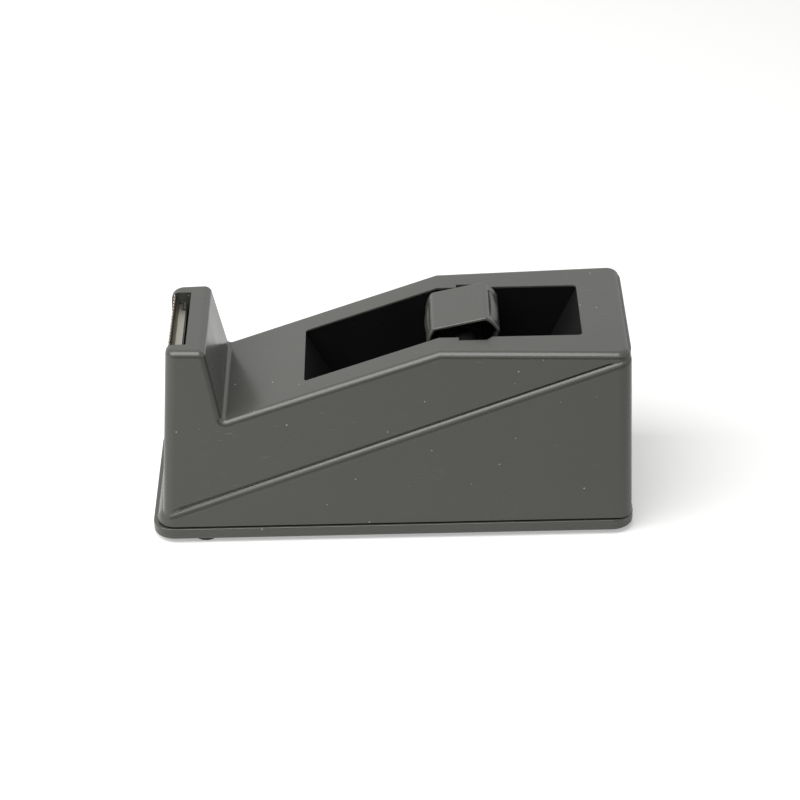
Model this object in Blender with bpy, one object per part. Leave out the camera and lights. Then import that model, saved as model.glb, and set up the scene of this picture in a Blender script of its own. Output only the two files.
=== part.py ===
"""Weighted desktop tape dispenser, modelled piece by piece.

Metres, +Z up. The nose with the cutter points to -X, the tape well lies behind it, and the origin is on the
table under the middle of the base plate. Left is -Y, seen by someone who faces the way the nose points.
"""

import math

import bmesh
import bpy
from mathutils import Vector

MM = 0.001

# Whole object
LENGTH = 150.0 * MM
WIDTH = 61.0 * MM
BODY_HEIGHT = 62.1 * MM  # underside of the base plate to the deck
CLEARANCE = 0.3 * MM  # between two pieces that seat on each other
ROUND_STEPS = 36  # sides of the hub's bush, its axle and the grooves
HOLE_STEPS = 20  # sides of screws, bosses and holes
FOOT_STEPS = 28
SHARP = math.radians(30.0)  # edges that turn by more are rounded or stay sharp

# Base plate
PLATE_RIM = 3.7 * MM
PLATE_FLOOR = 2.2 * MM
PLATE_CORNER = 7.0 * MM
PLATE_EDGE = 0.8 * MM
LIP_HEIGHT = 3.5 * MM  # locating lip above the rim
LIP_WALL = 1.6 * MM
SHADOW_GAP = 0.45 * MM  # dark line between plate and shell

# Shell: skirt below the diagonal ledge, body above it
WALL = 2.2 * MM
SKIRT_FRONT_SETBACK = 1.4 * MM
SKIRT_SIDE_SETBACK = 0.5 * MM
SKIRT_REAR_SETBACK = 0.4 * MM
SKIRT_FRONT_CORNER = 6.0 * MM
SKIRT_REAR_CORNER = 4.6 * MM
LEDGE_LIP = 2.7 * MM  # skirt height under the front end of the ledge
LEDGE_DROP = 0.6 * MM  # ledge below the deck at the rear end
LEDGE_STEP = 1.1 * MM  # ledge width
LEDGE_ROUND = 2.4 * MM
SKIRT_LAP = 3.0 * MM  # body runs this far down inside the skirt
BODY_FRONT_SETBACK = 2.85 * MM
BODY_REAR_STEP = 0.3 * MM
FRONT_LEAN = 0.064  # all leans are tangents
REAR_LEAN = 0.021
SIDE_LEAN = 0.138
BODY_ROUND = 2.0 * MM
BODY_REAR_CORNER = 4.0 * MM

# Nose, valley and deck
NOSE_DROP = 0.1 * MM  # nose top below the deck
NOSE_TOP_LENGTH = 11.9 * MM
NOSE_BACK_LEAN = 0.196
VALLEY_DEPTH = 22.8 * MM  # below the nose top
VALLEY_ROUND = 2.4 * MM
DECK_LENGTH = 57.8 * MM

# Cutter pocket and cutter
POCKET_LENGTH = 6.1 * MM
POCKET_WIDTH = 33.4 * MM
POCKET_DEPTH = 4.8 * MM
POCKET_FLOOR = 2.0 * MM
POCKET_LIP_CHAMFER = 1.0 * MM  # set-back of the front lip, over twice that height
BLADE_THICKNESS = 0.6 * MM
BLADE_WEB = 2.7 * MM
BLADE_SETBACK = 1.7 * MM  # web's rear edge from the pocket's rear wall
BLADE_RISE = 4.5 * MM
BLADE_LEAN = 0.25  # the toothed leg leans forward
NOTCH_LENGTH = 4.3 * MM  # notch in each rear corner of the web
NOTCH_WIDTH = 1.1 * MM
STUB_RISE = 0.4 * MM  # locating stub in the notch, above the web
TOOTH_PITCH = 2.05 * MM
TOOTH_DEPTH = 1.3 * MM

# Tape well
WELL_LENGTH = 85.3 * MM
WELL_WIDTH = 31.8 * MM
WELL_REAR_MARGIN = 14.1 * MM  # deck behind the opening
WELL_CORNER = 1.0 * MM
RIM_LIP = 0.6 * MM  # deck left over the tub's rim
RIM_OVERHANG = 0.1 * MM  # of that lip past the tub's inside
LINER_WALL = 1.2 * MM
LINER_RAMP = math.radians(63.0)  # front wall, from the level
LINER_REAR_LEAN = math.radians(25.0)
LINER_FRONT_FILLET = 6.0 * MM
LINER_ARC_STEPS = 8

# Hub, axle and grooves
HUB_TO_WELL_REAR = 35.5 * MM
HUB_DEPTH = 5.9 * MM  # axis below the deck
HUB_LENGTH = 23.6 * MM
HUB_RADIUS = 12.0 * MM  # of the lobes, which fill the core of a roll
HUB_FLAT = 8.6 * MM  # axis to each flat
HUB_CORNER = 1.6 * MM  # between a lobe and a flat
HUB_WALL = 0.8 * MM
HUB_TURN = math.radians(12.0)
HUB_LOBES = 3
HUB_FIRST_LOBE = math.radians(30.0)
HUB_LOBE_STEPS = 6
HUB_CORNER_STEPS = 4
WEB_THICKNESS = 2.0 * MM
BUSH_LENGTH = 10.0 * MM
BUSH_WALL = 1.2 * MM
TONGUE_WIDTH = 3.0 * MM
TONGUE_SHIFT = -0.4 * MM  # along the axis, towards the free end
TONGUE_LENGTH = 16.4 * MM
TONGUE_THICKNESS = 0.6 * MM
TONGUE_SINK = 0.1 * MM  # below the lobe's surface at its ends
TONGUE_BOW = 0.75 * MM
TONGUE_SLIT = 0.6 * MM
TONGUE_ROOT = 1.0 * MM
TONGUE_STEPS = 8
TONGUE_ARC_STEPS = 6
AXLE_DIAMETER = 7.2 * MM
AXLE_COLLAR = 10.0 * MM
AXLE_COLLAR_WIDTH = 1.2 * MM
AXLE_RIDGE = 8.4 * MM
AXLE_RIDGE_WIDTH = 0.8 * MM
AXLE_CHAMFER = 0.5 * MM
GROOVE_LEAN = math.radians(20.0)
GROOVE_DEPTH = 1.9 * MM  # into the deck's rim
GROOVE_LEAD_IN = 1.7 * MM
EAR_WALL = 2.2 * MM
EAR_BACK = 1.6 * MM
AXLE_END_GAP = 0.4 * MM

# Screws and the bosses that take them
SCREW_SHANK = 2.8 * MM
SCREW_HEAD = 6.2 * MM
SCREW_HEAD_HEIGHT = 2.2 * MM
SCREW_HEAD_CROWN = ((1.0, 0.55), (0.8, 0.9), (0.5, 1.0))  # shares of the head's radius and height
BASE_SCREW_LENGTH = 14.0 * MM
BALLAST_SCREW_LENGTH = 11.0 * MM
SHELL_BOSS = 7.4 * MM
CUP_WALL = 1.4 * MM
CUP_ROOF = 2.4 * MM
FRONT_BOSS_FROM_FRONT = 35.0 * MM
REAR_BOSS_FROM_REAR = 10.0 * MM
FRONT_BOSS_FROM_SIDE = 9.5 * MM
REAR_BOSS_FROM_SIDE = 15.5 * MM

# Ballast
MAIN_BALLAST_LENGTH = 48.0 * MM
MAIN_BALLAST_WIDTH = 30.0 * MM
MAIN_BALLAST_AHEAD = 11.0 * MM  # its middle ahead of the hub's axis
MAIN_SCREW_SPREAD = 32.0 * MM
FRONT_BALLAST_LENGTH = 20.0 * MM
FRONT_BALLAST_WIDTH = 36.0 * MM
FRONT_BALLAST_HEIGHT = 21.5 * MM
FRONT_BALLAST_FROM_FRONT = 19.0 * MM  # its middle
FRONT_SCREW_SPREAD = 20.0 * MM
BALLAST_DRAFT = 0.04  # share by which the top is smaller
BALLAST_EDGE = 1.2 * MM
BALLAST_BOSS = 7.6 * MM
BALLAST_BOSS_HEIGHT = 5.4 * MM
BALLAST_UNDER_HEAD = 6.0 * MM  # iron between the plate's boss and the screw's head

# Feet
FOOT_DIAMETER = 8.0 * MM
FOOT_PROUD = 1.5 * MM
FOOT_INSET_DEPTH = 1.0 * MM
FRONT_FOOT_FROM_END = 16.5 * MM
FRONT_FOOT_FROM_SIDE = 5.5 * MM
REAR_FOOT_FROM_END = 18.0 * MM
REAR_FOOT_FROM_SIDE = 9.0 * MM
FOOT_ROUND = 0.5 * MM

# Levels, from the table up
PLATE_BOTTOM = FOOT_PROUD
FLOOR_TOP = PLATE_BOTTOM + PLATE_FLOOR
RIM_TOP = PLATE_BOTTOM + PLATE_RIM
LIP_TOP = RIM_TOP + LIP_HEIGHT
SHELL_BOTTOM = RIM_TOP + SHADOW_GAP
DECK_TOP = PLATE_BOTTOM + BODY_HEIGHT
DECK_UNDERSIDE = DECK_TOP - WALL
NOSE_TOP = DECK_TOP - NOSE_DROP
VALLEY_BOTTOM = NOSE_TOP - VALLEY_DEPTH
POCKET_BOTTOM = NOSE_TOP - POCKET_DEPTH
BEYOND = 40.0 * MM  # how far a cutter runs past what it cuts

# Stations along the length
FRONT_END = -LENGTH / 2
REAR_END = LENGTH / 2
SKIRT_FRONT = FRONT_END + SKIRT_FRONT_SETBACK
SKIRT_REAR = REAR_END - SKIRT_REAR_SETBACK
SKIRT_HALF = WIDTH / 2 - SKIRT_SIDE_SETBACK
BODY_HALF = SKIRT_HALF - LEDGE_STEP
LEDGE_FRONT = SHELL_BOTTOM + LEDGE_LIP
LEDGE_SLOPE = (DECK_TOP - LEDGE_DROP - LEDGE_FRONT) / LENGTH


def flats_at(radius, steps):
    """Corner radius of a many-sided hole whose flat sides lie at a radius."""
    return radius / math.cos(math.pi / steps)


def ledge_height(x):
    return LEDGE_FRONT + LEDGE_SLOPE * (x - FRONT_END)


def front_face(z):
    return FRONT_END + BODY_FRONT_SETBACK + FRONT_LEAN * (z - PLATE_BOTTOM)


def skirt_rear(z):
    return SKIRT_REAR - REAR_LEAN * (z - PLATE_BOTTOM)


def body_rear(z):
    return skirt_rear(z) - BODY_REAR_STEP


NOSE_FRONT = front_face(NOSE_TOP)
NOSE_BACK = NOSE_FRONT + NOSE_TOP_LENGTH
VALLEY = NOSE_BACK + NOSE_BACK_LEAN * VALLEY_DEPTH
BREAK = body_rear(DECK_TOP) - DECK_LENGTH
SLOPE = (DECK_TOP - VALLEY_BOTTOM) / (BREAK - VALLEY)
POCKET_REAR = NOSE_FRONT + POCKET_LENGTH
BLADE_REAR = POCKET_REAR - BLADE_SETBACK
BLADE_FRONT = BLADE_REAR - BLADE_WEB
BLADE_BOTTOM = POCKET_BOTTOM + CLEARANCE
BLADE_HALF = POCKET_WIDTH / 2 - CLEARANCE
WELL_REAR = body_rear(DECK_TOP) - WELL_REAR_MARGIN
WELL_FRONT = WELL_REAR - WELL_LENGTH
HUB_X = WELL_REAR - HUB_TO_WELL_REAR
HUB_Z = DECK_TOP - HUB_DEPTH
AXLE_RADIUS = AXLE_DIAMETER / 2
GROOVE_RADIUS = flats_at(AXLE_RADIUS + CLEARANCE, ROUND_STEPS)
GROOVE_END = WELL_WIDTH / 2 + GROOVE_DEPTH  # half distance between the two groove bottoms
LINER_HALF = WELL_WIDTH / 2 + RIM_OVERHANG + LINER_WALL
LINER_RIM_DROP = RIM_LIP + CLEARANCE
SCREW_HOLE = flats_at(SCREW_SHANK / 2 + CLEARANCE, HOLE_STEPS)
HEAD_HOLE = flats_at(SCREW_HEAD / 2 + CLEARANCE, HOLE_STEPS)
CUP_RADIUS = HEAD_HOLE + CUP_WALL
FOOT_SEAT = flats_at(FOOT_DIAMETER / 2 + CLEARANCE, FOOT_STEPS)
BOSS_POCKET = flats_at(BALLAST_BOSS / 2 + CLEARANCE, HOLE_STEPS)
HEAD_SEAT = LIP_TOP - CUP_ROOF
MAIN_BALLAST_X = HUB_X - MAIN_BALLAST_AHEAD
FRONT_BALLAST_X = FRONT_END + FRONT_BALLAST_FROM_FRONT
BALLAST_BOTTOM = FLOOR_TOP + CLEARANCE
BALLAST_BOSS_TOP = FLOOR_TOP + BALLAST_BOSS_HEIGHT
BALLAST_SEAT = BALLAST_BOSS_TOP + CLEARANCE + BALLAST_UNDER_HEAD


def slope_height(x):
    return min(DECK_TOP, VALLEY_BOTTOM + SLOPE * (x - VALLEY))


# Where screws and feet stand: (piece name, x, y)
ENDS_AND_SIDES = [
    ("front", "left"),
    ("front", "right"),
    ("rear", "left"),
    ("rear", "right"),
]
SIDE_SIGN = {"left": -1, "right": 1}


def base_screw_places():
    stations = {
        "front": (FRONT_END + FRONT_BOSS_FROM_FRONT, WIDTH / 2 - FRONT_BOSS_FROM_SIDE),
        "rear": (REAR_END - REAR_BOSS_FROM_REAR, WIDTH / 2 - REAR_BOSS_FROM_SIDE),
    }
    places = []
    for end, side in ENDS_AND_SIDES:
        x, y = stations[end]
        places.append((f"{end}_{side}_screw", x, SIDE_SIGN[side] * y))
    return places


def foot_places():
    stations = {
        "front": (FRONT_END + FRONT_FOOT_FROM_END, WIDTH / 2 - FRONT_FOOT_FROM_SIDE),
        "rear": (REAR_END - REAR_FOOT_FROM_END, WIDTH / 2 - REAR_FOOT_FROM_SIDE),
    }
    places = []
    for end, side in ENDS_AND_SIDES:
        x, y = stations[end]
        places.append((f"{end}_{side}_foot", x, SIDE_SIGN[side] * y))
    return places


def ballast_screw_places():
    return [
        ("main_ballast_screw_front", MAIN_BALLAST_X - MAIN_SCREW_SPREAD / 2, 0.0),
        ("main_ballast_screw_rear", MAIN_BALLAST_X + MAIN_SCREW_SPREAD / 2, 0.0),
        ("front_ballast_screw_left", FRONT_BALLAST_X, -FRONT_SCREW_SPREAD / 2),
        ("front_ballast_screw_right", FRONT_BALLAST_X, FRONT_SCREW_SPREAD / 2),
    ]


# Outlines


def arc(centre, radius, start, stop, steps):
    """Points on an arc, both ends included, angles in radians."""
    points = []
    for i in range(steps + 1):
        angle = start + (stop - start) * i / steps
        points.append((centre[0] + radius * math.cos(angle), centre[1] + radius * math.sin(angle)))
    return points


def circle(centre, radius, steps):
    return arc(centre, radius, 0.0, 2 * math.pi * (steps - 1) / steps, steps - 1)


def rounded_rectangle(low, high, radius, steps=5):
    """Counter-clockwise outline between two opposite corners."""
    corners = [
        ((high[0] - radius, low[1] + radius), -90),
        ((high[0] - radius, high[1] - radius), 0),
        ((low[0] + radius, high[1] - radius), 90),
        ((low[0] + radius, low[1] + radius), 180),
    ]
    points = []
    for centre, start in corners:
        points += arc(centre, radius, math.radians(start), math.radians(start + 90), steps)
    return points


def inset(points, distances):
    """A counter-clockwise outline with edge i, from point i to the next, moved inwards by distances[i]."""
    count = len(points)
    lines = []
    for i in range(count):
        start = Vector(points[i])
        along = (Vector(points[(i + 1) % count]) - start).normalized()
        lines.append((start + Vector((-along.y, along.x)) * distances[i], along))
    moved = []
    for i in range(count):
        (p, d), (q, e) = lines[i - 1], lines[i]
        across = d.x * e.y - d.y * e.x
        t = ((q.x - p.x) * e.y - (q.y - p.y) * e.x) / across
        moved.append(tuple(p + d * t))
    return moved


def hub_section(wall):
    """The hub's section about its axis, a wall inside the outer one: a circle cut by flats."""
    corner = HUB_CORNER - wall
    reach = HUB_RADIUS - HUB_CORNER  # axis to the centre of a corner
    lean = math.acos((HUB_FLAT - HUB_CORNER) / reach)  # from a flat's normal to that centre
    half = math.pi / HUB_LOBES
    points = []
    for k in range(HUB_LOBES):
        low, high = lobe_angle(k) - half, lobe_angle(k) + half
        first, last = low + lean, high - lean
        centres = [(reach * math.cos(angle), reach * math.sin(angle)) for angle in (first, last)]
        points += arc(centres[0], corner, low, first, HUB_CORNER_STEPS)
        points += arc((0, 0), HUB_RADIUS - wall, first, last, HUB_LOBE_STEPS)[1:-1]
        points += arc(centres[1], corner, last, high, HUB_CORNER_STEPS)
    return points


def lobe_angle(k):
    return HUB_FIRST_LOBE + 2 * math.pi * k / HUB_LOBES


def groove_outline(radius, length):
    """A round seat about the hub's axis, open upwards along the lean of the groove."""
    up = (math.sin(GROOVE_LEAN), math.cos(GROOVE_LEAN))
    seat = arc((HUB_X, HUB_Z), radius, -math.pi - GROOVE_LEAN, -GROOVE_LEAN, ROUND_STEPS // 2)
    ends = [(x + up[0] * length, z + up[1] * length) for x, z in (seat[-1], seat[0])]
    return seat + ends


# Mesh building


def prism(outline, low, high, axis="Y"):
    """A closed mesh swept from low to high: an (x, z) outline along Y, or an (x, y) outline along Z."""
    bm = bmesh.new()
    if axis == "Y":
        ring = [bm.verts.new((a, low, b)) for a, b in outline]
        step = Vector((0, high - low, 0))
    else:
        ring = [bm.verts.new((a, b, low)) for a, b in outline]
        step = Vector((0, 0, high - low))
    sweep(bm, bm.faces.new(ring), step)
    return bm


def sweep(bm, face, step):
    """Extrudes a lone face, or the end face of a swept mesh, by a step and returns the new end face."""
    is_end = all(len(edge.link_faces) > 1 for edge in face.edges)
    swept = bmesh.ops.extrude_face_region(bm, geom=[face])["geom"]
    verts = [item for item in swept if isinstance(item, bmesh.types.BMVert)]
    bmesh.ops.translate(bm, verts=verts, vec=step)
    if is_end:
        bmesh.ops.delete(bm, geom=[face], context="FACES_ONLY")
    bmesh.ops.recalc_face_normals(bm, faces=bm.faces)
    return next(item for item in swept if isinstance(item, bmesh.types.BMFace))


def turned(profile, steps, axis="Z"):
    """A closed mesh turned about an axis from (radius, height) points, the first and last at radius 0."""
    bm = bmesh.new()
    verts = [bm.verts.new((r, 0, h)) for r, h in profile]
    edges = [bm.edges.new(pair) for pair in zip(verts, verts[1:])]
    bmesh.ops.spin(
        bm,
        geom=verts + edges,
        cent=(0, 0, 0),
        axis=(0, 0, 1),
        angle=2 * math.pi,
        steps=steps,
        use_merge=True,
    )
    bmesh.ops.remove_doubles(bm, verts=bm.verts, dist=1e-6)
    bmesh.ops.recalc_face_normals(bm, faces=bm.faces)
    if axis == "Y":
        turn = Vector((0, 0, 1)).rotation_difference(Vector((0, 1, 0))).to_matrix()
        bmesh.ops.rotate(bm, verts=bm.verts, cent=(0, 0, 0), matrix=turn)
    return bm


def box(low, high):
    plan = [(low[0], low[1]), (high[0], low[1]), (high[0], high[1]), (low[0], high[1])]
    return prism(plan, low[2], high[2], "Z")


def cylinder(place, radius, low, high, steps=HOLE_STEPS):
    return prism(circle(place, radius, steps), low, high, "Z")


def joined(parts):
    """Separate closed meshes held in one, to be used together as a tool."""
    whole = bmesh.new()
    for part in parts:
        mesh = bpy.data.meshes.new("part")
        part.to_mesh(mesh)
        part.free()
        whole.from_mesh(mesh)
        bpy.data.meshes.remove(mesh)
    return whole


def slice_off(bm, point, normal):
    """Removes the side of a plane that its normal points to, and caps the cut."""
    everything = bm.verts[:] + bm.edges[:] + bm.faces[:]
    cut = bmesh.ops.bisect_plane(bm, geom=everything, plane_co=point, plane_no=normal, clear_outer=True)
    rim = [item for item in cut["geom_cut"] if isinstance(item, bmesh.types.BMEdge)]
    bmesh.ops.edgeloop_fill(bm, edges=rim)
    bmesh.ops.recalc_face_normals(bm, faces=bm.faces)


def bevel(bm, edges, width, segments):
    bmesh.ops.bevel(
        bm,
        geom=edges,
        offset=width,
        offset_type="OFFSET",
        segments=segments,
        profile=0.5,
        affect="EDGES",
        clamp_overlap=True,
        material=-1,
    )


def upright(edge):
    along = (edge.verts[1].co - edge.verts[0].co).normalized()
    return abs(along.z) > 0.8


def middle(edge):
    return (edge.verts[0].co + edge.verts[1].co) / 2


# Objects


def srgb(code):
    """A hex colour as linear red, green, blue and alpha."""
    values = []
    for i in (0, 2, 4):
        share = int(code[i : i + 2], 16) / 255
        values.append(share / 12.92 if share <= 0.04045 else ((share + 0.055) / 1.055) ** 2.4)
    return (*values, 1.0)


def material(name, code, roughness, metallic=0.0):
    made = bpy.data.materials.new(name)
    made.use_nodes = True
    shader = made.node_tree.nodes["Principled BSDF"]
    shader.inputs["Base Color"].default_value = srgb(code)
    shader.inputs["Roughness"].default_value = roughness
    shader.inputs["Metallic"].default_value = metallic
    return made


def piece(name, bm, finish, parent, place=(0, 0, 0), turn=0.0):
    """One named sub-part. turn is about the Y axis through its own origin."""
    mesh = bpy.data.meshes.new(name)
    bm.to_mesh(mesh)
    bm.free()
    mesh.shade_smooth()
    mesh.set_sharp_from_angle(angle=SHARP)
    obj = bpy.data.objects.new(name, mesh)
    bpy.context.scene.collection.objects.link(obj)
    obj.data.materials.append(finish)
    obj.parent = parent
    obj.location = place
    obj.rotation_euler = (0, turn, 0)
    return obj


def tool(target, operation, name, bm):
    """A Boolean on the target with its own hidden tool mesh, placed in the target's own frame."""
    mesh = bpy.data.meshes.new(name)
    bm.to_mesh(mesh)
    bm.free()
    obj = bpy.data.objects.new(name, mesh)
    bpy.context.scene.collection.objects.link(obj)
    obj.parent = target
    obj.hide_render = True
    obj.display_type = "WIRE"
    change = target.modifiers.new(name, "BOOLEAN")
    change.operation = operation
    change.solver = "EXACT"
    change.object = obj


def cut(target, name, bm):
    tool(target, "DIFFERENCE", name, bm)


def join(target, name, bm):
    tool(target, "UNION", name, bm)


# Upper shell


def body_outline():
    """Side view of the body, counter-clockwise from the lower front."""
    front = FRONT_END + BODY_FRONT_SETBACK
    low_front = ledge_height(front) - SKIRT_LAP
    low_rear = ledge_height(REAR_END) - SKIRT_LAP
    return [
        (front_face(low_front), low_front),
        (body_rear(low_rear), low_rear),
        (body_rear(DECK_TOP), DECK_TOP),
        (BREAK, DECK_TOP),
        (VALLEY, VALLEY_BOTTOM),
        (NOSE_BACK, NOSE_TOP),
        (NOSE_FRONT, NOSE_TOP),
    ]


def lean_sides(bm, depth):
    """Slices both sides along the leaning planes, moved inwards by a depth."""
    for sign in (-1, 1):
        normal = Vector((-SIDE_LEAN * LEDGE_SLOPE, sign, SIDE_LEAN)).normalized()
        point = Vector((FRONT_END, sign * BODY_HALF, LEDGE_FRONT)) - normal * depth
        slice_off(bm, point, normal)


def body_solid():
    bm = prism(body_outline(), -WIDTH, WIDTH)
    lean_sides(bm, 0.0)
    rear = [e for e in bm.edges if upright(e) and middle(e).x > BREAK + DECK_LENGTH / 2]
    bevel(bm, rear, BODY_REAR_CORNER, 5)
    bevel(bm, [e for e in bm.edges if in_valley(e)], VALLEY_ROUND, 4)
    above = [e for e in bm.edges if e.calc_face_angle(0.0) > SHARP and not under_ledge(e)]
    bevel(bm, above, BODY_ROUND, 3)
    bmesh.ops.recalc_face_normals(bm, faces=bm.faces)
    return bm


def in_valley(edge):
    return (middle(edge) - Vector((VALLEY, 0, VALLEY_BOTTOM))).length < CLEARANCE


def under_ledge(edge):
    return all(v.co.z < ledge_height(v.co.x) - SKIRT_LAP / 2 for v in edge.verts)


def skirt_solid():
    low_rear = skirt_rear(SHELL_BOTTOM)
    high = ledge_height(SKIRT_REAR)
    outline = [
        (SKIRT_FRONT, SHELL_BOTTOM),
        (low_rear, SHELL_BOTTOM),
        (skirt_rear(high), high),
        (SKIRT_FRONT, ledge_height(SKIRT_FRONT)),
    ]
    bm = prism(outline, -SKIRT_HALF, SKIRT_HALF)
    for radius, ahead in ((SKIRT_FRONT_CORNER, True), (SKIRT_REAR_CORNER, False)):
        corners = [e for e in bm.edges if upright(e) and (middle(e).x < 0) == ahead]
        bevel(bm, corners, radius, 5)
    top = [e for e in bm.edges if e.calc_face_angle(0.0) > SHARP and not low_edge(e)]
    bevel(bm, top, LEDGE_ROUND, 3)
    bmesh.ops.recalc_face_normals(bm, faces=bm.faces)
    return bm


def low_edge(edge):
    return middle(edge).z < SHELL_BOTTOM + LEDGE_LIP / 4


def cavity_solid():
    """The hollow of the shell, open below. The nose keeps a solid top to hold the cutter's pocket."""
    outline = body_outline()
    deep = SHELL_BOTTOM - BEYOND
    outline[0] = (front_face(deep), deep)
    outline[1] = (body_rear(deep), deep)
    nose = POCKET_DEPTH + POCKET_FLOOR
    half = BODY_HALF - WALL
    bm = prism(inset(outline, [0.0, WALL, WALL, WALL, WALL, nose, WALL]), -half, half)
    lean_sides(bm, WALL)
    return bm


def shell_boss(x, y):
    """A screw boss from the base plate's cup up into the wall over it."""
    radius = SHELL_BOSS / 2
    bm = cylinder((x, y), radius, LIP_TOP + CLEARANCE, DECK_TOP)
    lean = SLOPE if x < BREAK else 0.0
    into_wall = Vector((x, y, slope_height(x) - WALL / 2))
    slice_off(bm, into_wall, Vector((-lean, 0, 1)).normalized())
    return bm


def rebate_outline():
    """Side view of the room for the tub's rim, cut into the deck from below up to a thin lip."""
    outside = liner_outside()
    front = outside[0][0] - CLEARANCE
    rear = outside[-2][0] + CLEARANCE
    low = VALLEY_BOTTOM - WALL
    return [
        (front, low),
        (rear, low),
        (rear, DECK_TOP - RIM_LIP),
        (BREAK, DECK_TOP - RIM_LIP),
        (front, slope_height(front) - RIM_LIP),
    ]


def lead_in(sign):
    """Widens the rear corner of a groove's mouth in the deck."""
    mouth = HUB_X + math.tan(GROOVE_LEAN) * HUB_DEPTH + GROOVE_RADIUS / math.cos(GROOVE_LEAN)
    rim = sign * (WELL_WIDTH / 2 - GROOVE_DEPTH)
    deep = sign * GROOVE_END
    back = mouth + GROOVE_LEAD_IN * 2
    outline = [(mouth - GROOVE_RADIUS, rim), (back, rim), (mouth, deep), (mouth - GROOVE_RADIUS, deep)]
    return prism(outline, DECK_UNDERSIDE - WALL, DECK_TOP + WALL, "Z")


def pocket_outline():
    """Side view of the cutter's pocket: open at the top and front, with a slot behind the blade's web."""
    high = NOSE_TOP + BEYOND
    slot_front = BLADE_REAR + CLEARANCE
    slot_bottom = POCKET_BOTTOM - 2 * POCKET_FLOOR
    drop = 2 * POCKET_LIP_CHAMFER
    lip = front_face(POCKET_BOTTOM) + POCKET_LIP_CHAMFER
    below_lip = 2 * front_face(POCKET_BOTTOM - drop) - lip
    return [
        (POCKET_REAR, slot_bottom),
        (POCKET_REAR, high),
        (FRONT_END - BEYOND, high),
        (FRONT_END - BEYOND, POCKET_BOTTOM - 2 * drop),
        (below_lip, POCKET_BOTTOM - 2 * drop),
        (lip, POCKET_BOTTOM),
        (slot_front, POCKET_BOTTOM),
        (slot_front, slot_bottom),
    ]


def blade_stub(sign):
    """A stub on the pocket's floor and end wall that stands in one notch of the blade's web."""
    ys = sorted((sign * (BLADE_HALF - NOTCH_LENGTH + CLEARANCE), sign * (POCKET_WIDTH / 2 + WALL)))
    front = BLADE_REAR - NOTCH_WIDTH + CLEARANCE
    low = POCKET_BOTTOM - POCKET_FLOOR / 2
    high = BLADE_BOTTOM + BLADE_THICKNESS + STUB_RISE
    return box((front, ys[0], low), (BLADE_REAR, ys[1], high))


def make_upper_shell(finish, parent):
    shell = piece("upper_shell", body_solid(), finish, parent)
    join(shell, "shell_skirt", skirt_solid())
    cut(shell, "shell_cavity", cavity_solid())
    screws = base_screw_places()
    join(shell, "shell_bosses", joined([shell_boss(x, y) for _, x, y in screws]))
    pilot_top = HEAD_SEAT + BASE_SCREW_LENGTH + WALL
    pilots = [cylinder((x, y), SCREW_HOLE, PLATE_BOTTOM, pilot_top) for _, x, y in screws]
    cut(shell, "shell_pilots", joined(pilots))
    half = WELL_WIDTH / 2
    opening = rounded_rectangle((WELL_FRONT, -half), (WELL_REAR, half), WELL_CORNER, 3)
    cut(shell, "deck_opening", prism(opening, VALLEY_BOTTOM - WALL, DECK_TOP + BEYOND, "Z"))
    rebate_half = LINER_HALF + CLEARANCE
    cut(shell, "deck_rebate", prism(rebate_outline(), -rebate_half, rebate_half))
    cut(shell, "deck_grooves", prism(groove_outline(GROOVE_RADIUS, BEYOND), -GROOVE_END, GROOVE_END))
    cut(shell, "groove_lead_ins", joined([lead_in(-1), lead_in(1)]))
    half = POCKET_WIDTH / 2
    cut(shell, "cutter_pocket", prism(pocket_outline(), -half, half))
    join(shell, "blade_stubs", joined([blade_stub(-1), blade_stub(1)]))
    return shell


# Tape well


def liner_inside():
    """Inside of the tub in side view, counter-clockwise from the front rim.

    The rear wall leans in and meets a round floor about the hub's axis. A flat floor runs on to the ramp.
    """
    rear_rim = (WELL_REAR + RIM_OVERHANG, DECK_TOP - LINER_RIM_DROP)
    lean = LINER_REAR_LEAN
    radius = (rear_rim[0] - HUB_X) * math.cos(lean) - (rear_rim[1] - HUB_Z) * math.sin(lean)
    floor = HUB_Z - radius
    front_x = WELL_FRONT - RIM_OVERHANG
    front_rim = (front_x, slope_height(front_x) - LINER_RIM_DROP)
    foot_x = front_x + (front_rim[1] - floor) / math.tan(LINER_RAMP)
    tangent = LINER_FRONT_FILLET * math.tan(LINER_RAMP / 2)
    centre = (foot_x + tangent, floor + LINER_FRONT_FILLET)
    start = -math.pi / 2 - LINER_RAMP
    ramp_foot = arc(centre, LINER_FRONT_FILLET, start, -math.pi / 2, LINER_ARC_STEPS // 2)
    round_floor = arc((HUB_X, HUB_Z), radius, -math.pi / 2, -lean, LINER_ARC_STEPS)
    break_rim = (BREAK, DECK_TOP - LINER_RIM_DROP)
    return [front_rim, *ramp_foot, *round_floor, rear_rim, break_rim]


def liner_moved(walls, rim):
    """The inside's outline with the walls and the rim moved inwards, or outwards where negative."""
    inside = liner_inside()
    return inset(inside, [walls] * (len(inside) - 2) + [rim, rim])


def liner_outside():
    return liner_moved(-LINER_WALL, 0.0)


def liner_floor():
    return min(z for _, z in liner_outside())


def make_tape_well(finish, parent):
    well = piece("tape_well", prism(liner_outside(), -LINER_HALF, LINER_HALF), finish, parent)
    inside_half = LINER_HALF - LINER_WALL
    cut(well, "well_inside", prism(liner_moved(0.0, -LINER_WALL), -inside_half, inside_half))
    ears = []
    for sign in (-1, 1):
        ys = sorted((sign * (LINER_HALF - LINER_WALL / 2), sign * (GROOVE_END + EAR_BACK)))
        ear = prism(groove_outline(GROOVE_RADIUS + EAR_WALL, BEYOND), ys[0], ys[1])
        slice_off(ear, Vector((0, 0, DECK_UNDERSIDE - CLEARANCE)), Vector((0, 0, 1)))
        ears.append(ear)
    join(well, "well_ears", joined(ears))
    cut(well, "well_grooves", prism(groove_outline(GROOVE_RADIUS, BEYOND), -GROOVE_END, GROOVE_END))
    return well


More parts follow.
